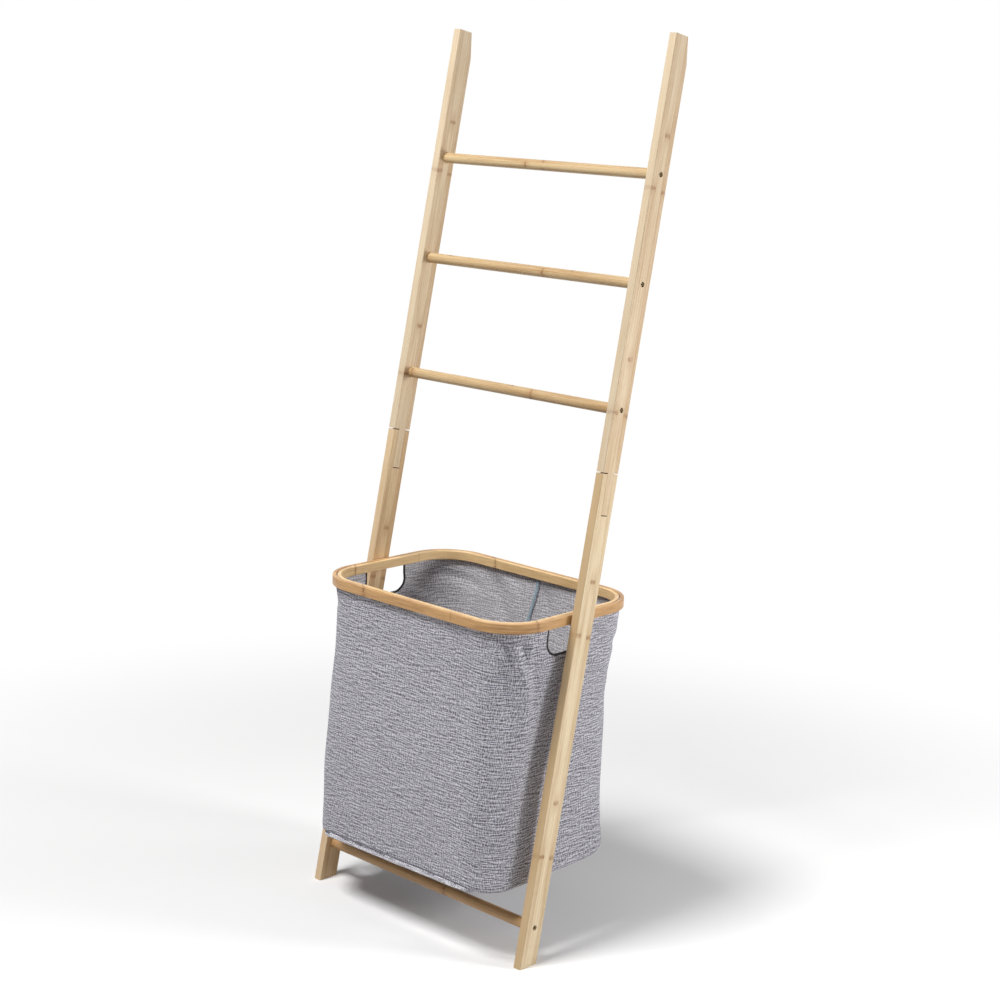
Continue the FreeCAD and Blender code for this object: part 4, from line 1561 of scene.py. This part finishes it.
@dataclass(frozen=True)
class Viewpoint:
    """The photograph's camera, worked out from the rails, rungs and feet.

    Attributes:
        place: from the rails' front edge on the floor, half way between the rails.
        yaw: turn to the left of straight back.
        pitch: tilt below level.
        roll: turn about the view.
        focal: focal length in pixels of a frame 1000 pixels wide.
        axis_height: how far above the frame's middle the view's axis is, in pixels.
        frame: the frame's width in pixels.
        sensor: width of the camera's sensor in millimetres.
        sight: how far the camera sees.
    """

    place: Triple = (2.411504, -2.454953, 1.552698)
    yaw: float = 0.7404430
    pitch: float = 0.1611587
    roll: float = 0.0412442
    focal: float = 1951.2533
    axis_height: float = 100.0
    frame: float = 1000.0
    sensor: float = 36.0
    sight: float = 60.0

    def camera(self, foot: float) -> bpy.types.Object:
        """Makes the camera.

        Args:
            foot: y of the rails' front edge on the floor.

        Returns:
            The camera.
        """
        ahead = Vector((
            -math.sin(self.yaw) * math.cos(self.pitch),
            math.cos(self.yaw) * math.cos(self.pitch),
            -math.sin(self.pitch),
        ))
        level = Vector((math.cos(self.yaw), math.sin(self.yaw), 0.0))
        above = level.cross(ahead)
        right = level * math.cos(self.roll) + above * math.sin(self.roll)
        up = above * math.cos(self.roll) - level * math.sin(self.roll)
        data = bpy.data.cameras.new("photo_camera")
        data.sensor_width = self.sensor
        data.lens = self.focal / self.frame * self.sensor
        data.shift_y = -self.axis_height / self.frame
        data.clip_end = self.sight
        camera = bpy.data.objects.new("photo_camera", data)
        turn = Matrix((right, up, -ahead)).transposed().to_4x4()
        camera.matrix_world = Matrix.Translation(Vector(self.place) + Vector((0.0, foot, 0.0))) @ turn
        bpy.context.scene.collection.objects.link(camera)
        return camera


@dataclass(frozen=True)
class Lamp:
    """A soft square lamp.

    Attributes:
        name: the lamp's name.
        place: where it hangs.
        aim: what it points at.
        side: length of its side.
        power: watts.
    """

    name: str
    place: Triple
    aim: Triple
    side: float
    power: float

    def hang(self) -> None:
        """Hangs the lamp in the scene."""
        data = bpy.data.lights.new(self.name, "AREA")
        data.shape = "SQUARE"
        data.size = self.side
        data.energy = self.power
        lamp = bpy.data.objects.new(self.name, data)
        lamp.visible_camera = False
        lamp.location = self.place
        lamp.rotation_euler = (Vector(self.aim) - Vector(self.place)).to_track_quat("-Z", "Y").to_euler()
        bpy.context.scene.collection.objects.link(lamp)


@dataclass(frozen=True)
class Studio:
    """The pale floor, the white surroundings, the lamps and the camera.

    Attributes:
        lamps: the lamps.
        floor_half: half the floor's side.
        clear: distances from the object between which the floor turns plain white.
        thrown: the floor's colour as it lights the object.
        shown: the floor's colour as seen.
        grey: strength of the light that falls on the object from all round.
    """

    lamps: tuple[Lamp, ...] = (
        Lamp("key_lamp", (-0.55, -2.2, 4.5), (0.0, 0.1, 0.6), 1.5, 200.0),
        Lamp("right_lamp", (1.8, 0.9, 1.0), (0.1, 0.0, 0.6), 0.45, 20.0),
        Lamp("back_lamp", (1.7, 2.1, 1.9), (0.1, 0.0, 0.7), 0.7, 9.0),
    )
    floor_half: float = 14.0
    clear: Pair = (0.75, 1.9)
    thrown: Tone = (213, 213, 213)
    shown: Tone = (252, 252, 252)
    grey: float = 0.16

    def build(self, foot: float) -> None:
        """Builds everything that isn't the object.

        Args:
            foot: y of the rails' front edge on the floor.
        """
        scene = bpy.context.scene
        scene.view_settings.view_transform = "Standard"
        scene.camera = Viewpoint().camera(foot)
        for lamp in self.lamps:
            lamp.hang()
        self.surround(scene)
        self.floor()

    def surround(self, scene: bpy.types.Scene) -> None:
        """White as far as the camera sees, and a plain grey light on the object.

        Args:
            scene: the scene.
        """
        world = bpy.data.worlds.new("surround")
        world.use_nodes = True
        tree = Nodes(world.node_tree)
        strength = tree.math("ADD", tree.math("MULTIPLY", tree.looked_at(), 1.0 - self.grey), self.grey)
        background = tree.nodes["Background"]
        tree.feed(background.inputs["Color"], (1.0, 1.0, 1.0, 1.0))
        tree.feed(background.inputs["Strength"], strength)
        scene.world = world

    def floor(self) -> bpy.types.Object:
        """A wide floor that takes the object's shadow close by and is plain white further off.

        Returns:
            The floor.
        """
        recipe = Recipe("pale_floor")
        place = recipe.coordinates("Object")
        away = recipe.add("ShaderNodeVectorMath", {0: place}, "Value", operation="LENGTH")
        looked_at = recipe.looked_at()
        plain = recipe.math("MULTIPLY", recipe.step(away, *self.clear), looked_at)
        white = recipe.add("ShaderNodeEmission", {})
        recipe.set(Base_Color=recipe.blend(looked_at, seen(*self.thrown), seen(*self.shown)))
        recipe.set(Roughness=0.9, Specular_IOR_Level=0.1)
        mixed = recipe.add("ShaderNodeMixShader", {0: plain, 1: recipe.shader.outputs[0], 2: white})
        recipe.feed(recipe.nodes["Material Output"].inputs["Surface"], mixed)
        signs = np.array(((-1.0, -1.0, 0.0), (1.0, -1.0, 0.0), (1.0, 1.0, 0.0), (-1.0, 1.0, 0.0)))
        corners = self.floor_half * signs
        square = Surface(corners, np.array(((0, 1, 2, 3),)), corners[None, :, :2])
        return square.piece("floor", recipe.material)


def bag_shape() -> BagShape:
    """Reads the bag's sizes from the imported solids.

    Returns:
        The wall's surface.
    """
    low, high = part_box("bag_sleeve")
    floor_low, floor_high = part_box("bag_bottom_panel")
    left_low, left_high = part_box("handle_tape_left")
    right_low, right_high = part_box("handle_tape_right")
    seam_low, seam_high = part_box("bag_back_seam")
    tape_width = 0.0040
    half = 0.5 * BagShape.cloth
    return BagShape(
        half_width=0.5 * (high[0] - low[0]) - half,
        half_depth=0.5 * (high[1] - low[1]) - half,
        centre_y=0.5 * (high[1] + low[1]),
        top=high[2],
        rim_bottom=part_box("rim_outer_band")[0][2],
        bottom=0.5 * (floor_low[2] + floor_high[2]),
        hole_top=left_high[2],
        hole_bottom=left_low[2] + tape_width,
        seam_x=0.5 * (seam_low[0] + seam_high[0]),
        left_hole=0.5 * (left_low[1] + left_high[1]),
        right_hole=0.5 * (right_low[1] + right_high[1]),
    )


def main() -> None:
    """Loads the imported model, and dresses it."""
    logging.basicConfig(level=logging.INFO, format="%(name)s: %(message)s")
    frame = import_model()
    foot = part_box("lower_rail_left")[0][1]
    Studio().build(foot)
    rigid = Frame(frame["nodes"], foot).dress(frame["record"]["subparts"])
    bag = Bag(
        bag_shape(),
        FleckedCloth("grey_cloth", light=(240, 238, 247), dark=(88, 85, 96)).material(),
        # The inner cloth is lighter: painted light for the light that shines through the cloth into the bag.
        FleckedCloth("grey_cloth_inside_painted_light", light=(250, 248, 252), dark=(152, 149, 157)).material(),
        WovenTape("black_tape", light=(52, 50, 52), dark=(18, 17, 19)).material(),
        WovenTape("seam_thread", light=(202, 222, 230), dark=(140, 174, 190), rib=0.0012).material(),
        Board("base_board", (118, 117, 121), (84, 83, 88)).material(),
    )
    soft = bag.dress()
    for piece in (*rigid, *soft):
        LOG.info("%s: %d faces", piece.name, len(piece.data.polygons))


if __name__ == "__main__":
    main()
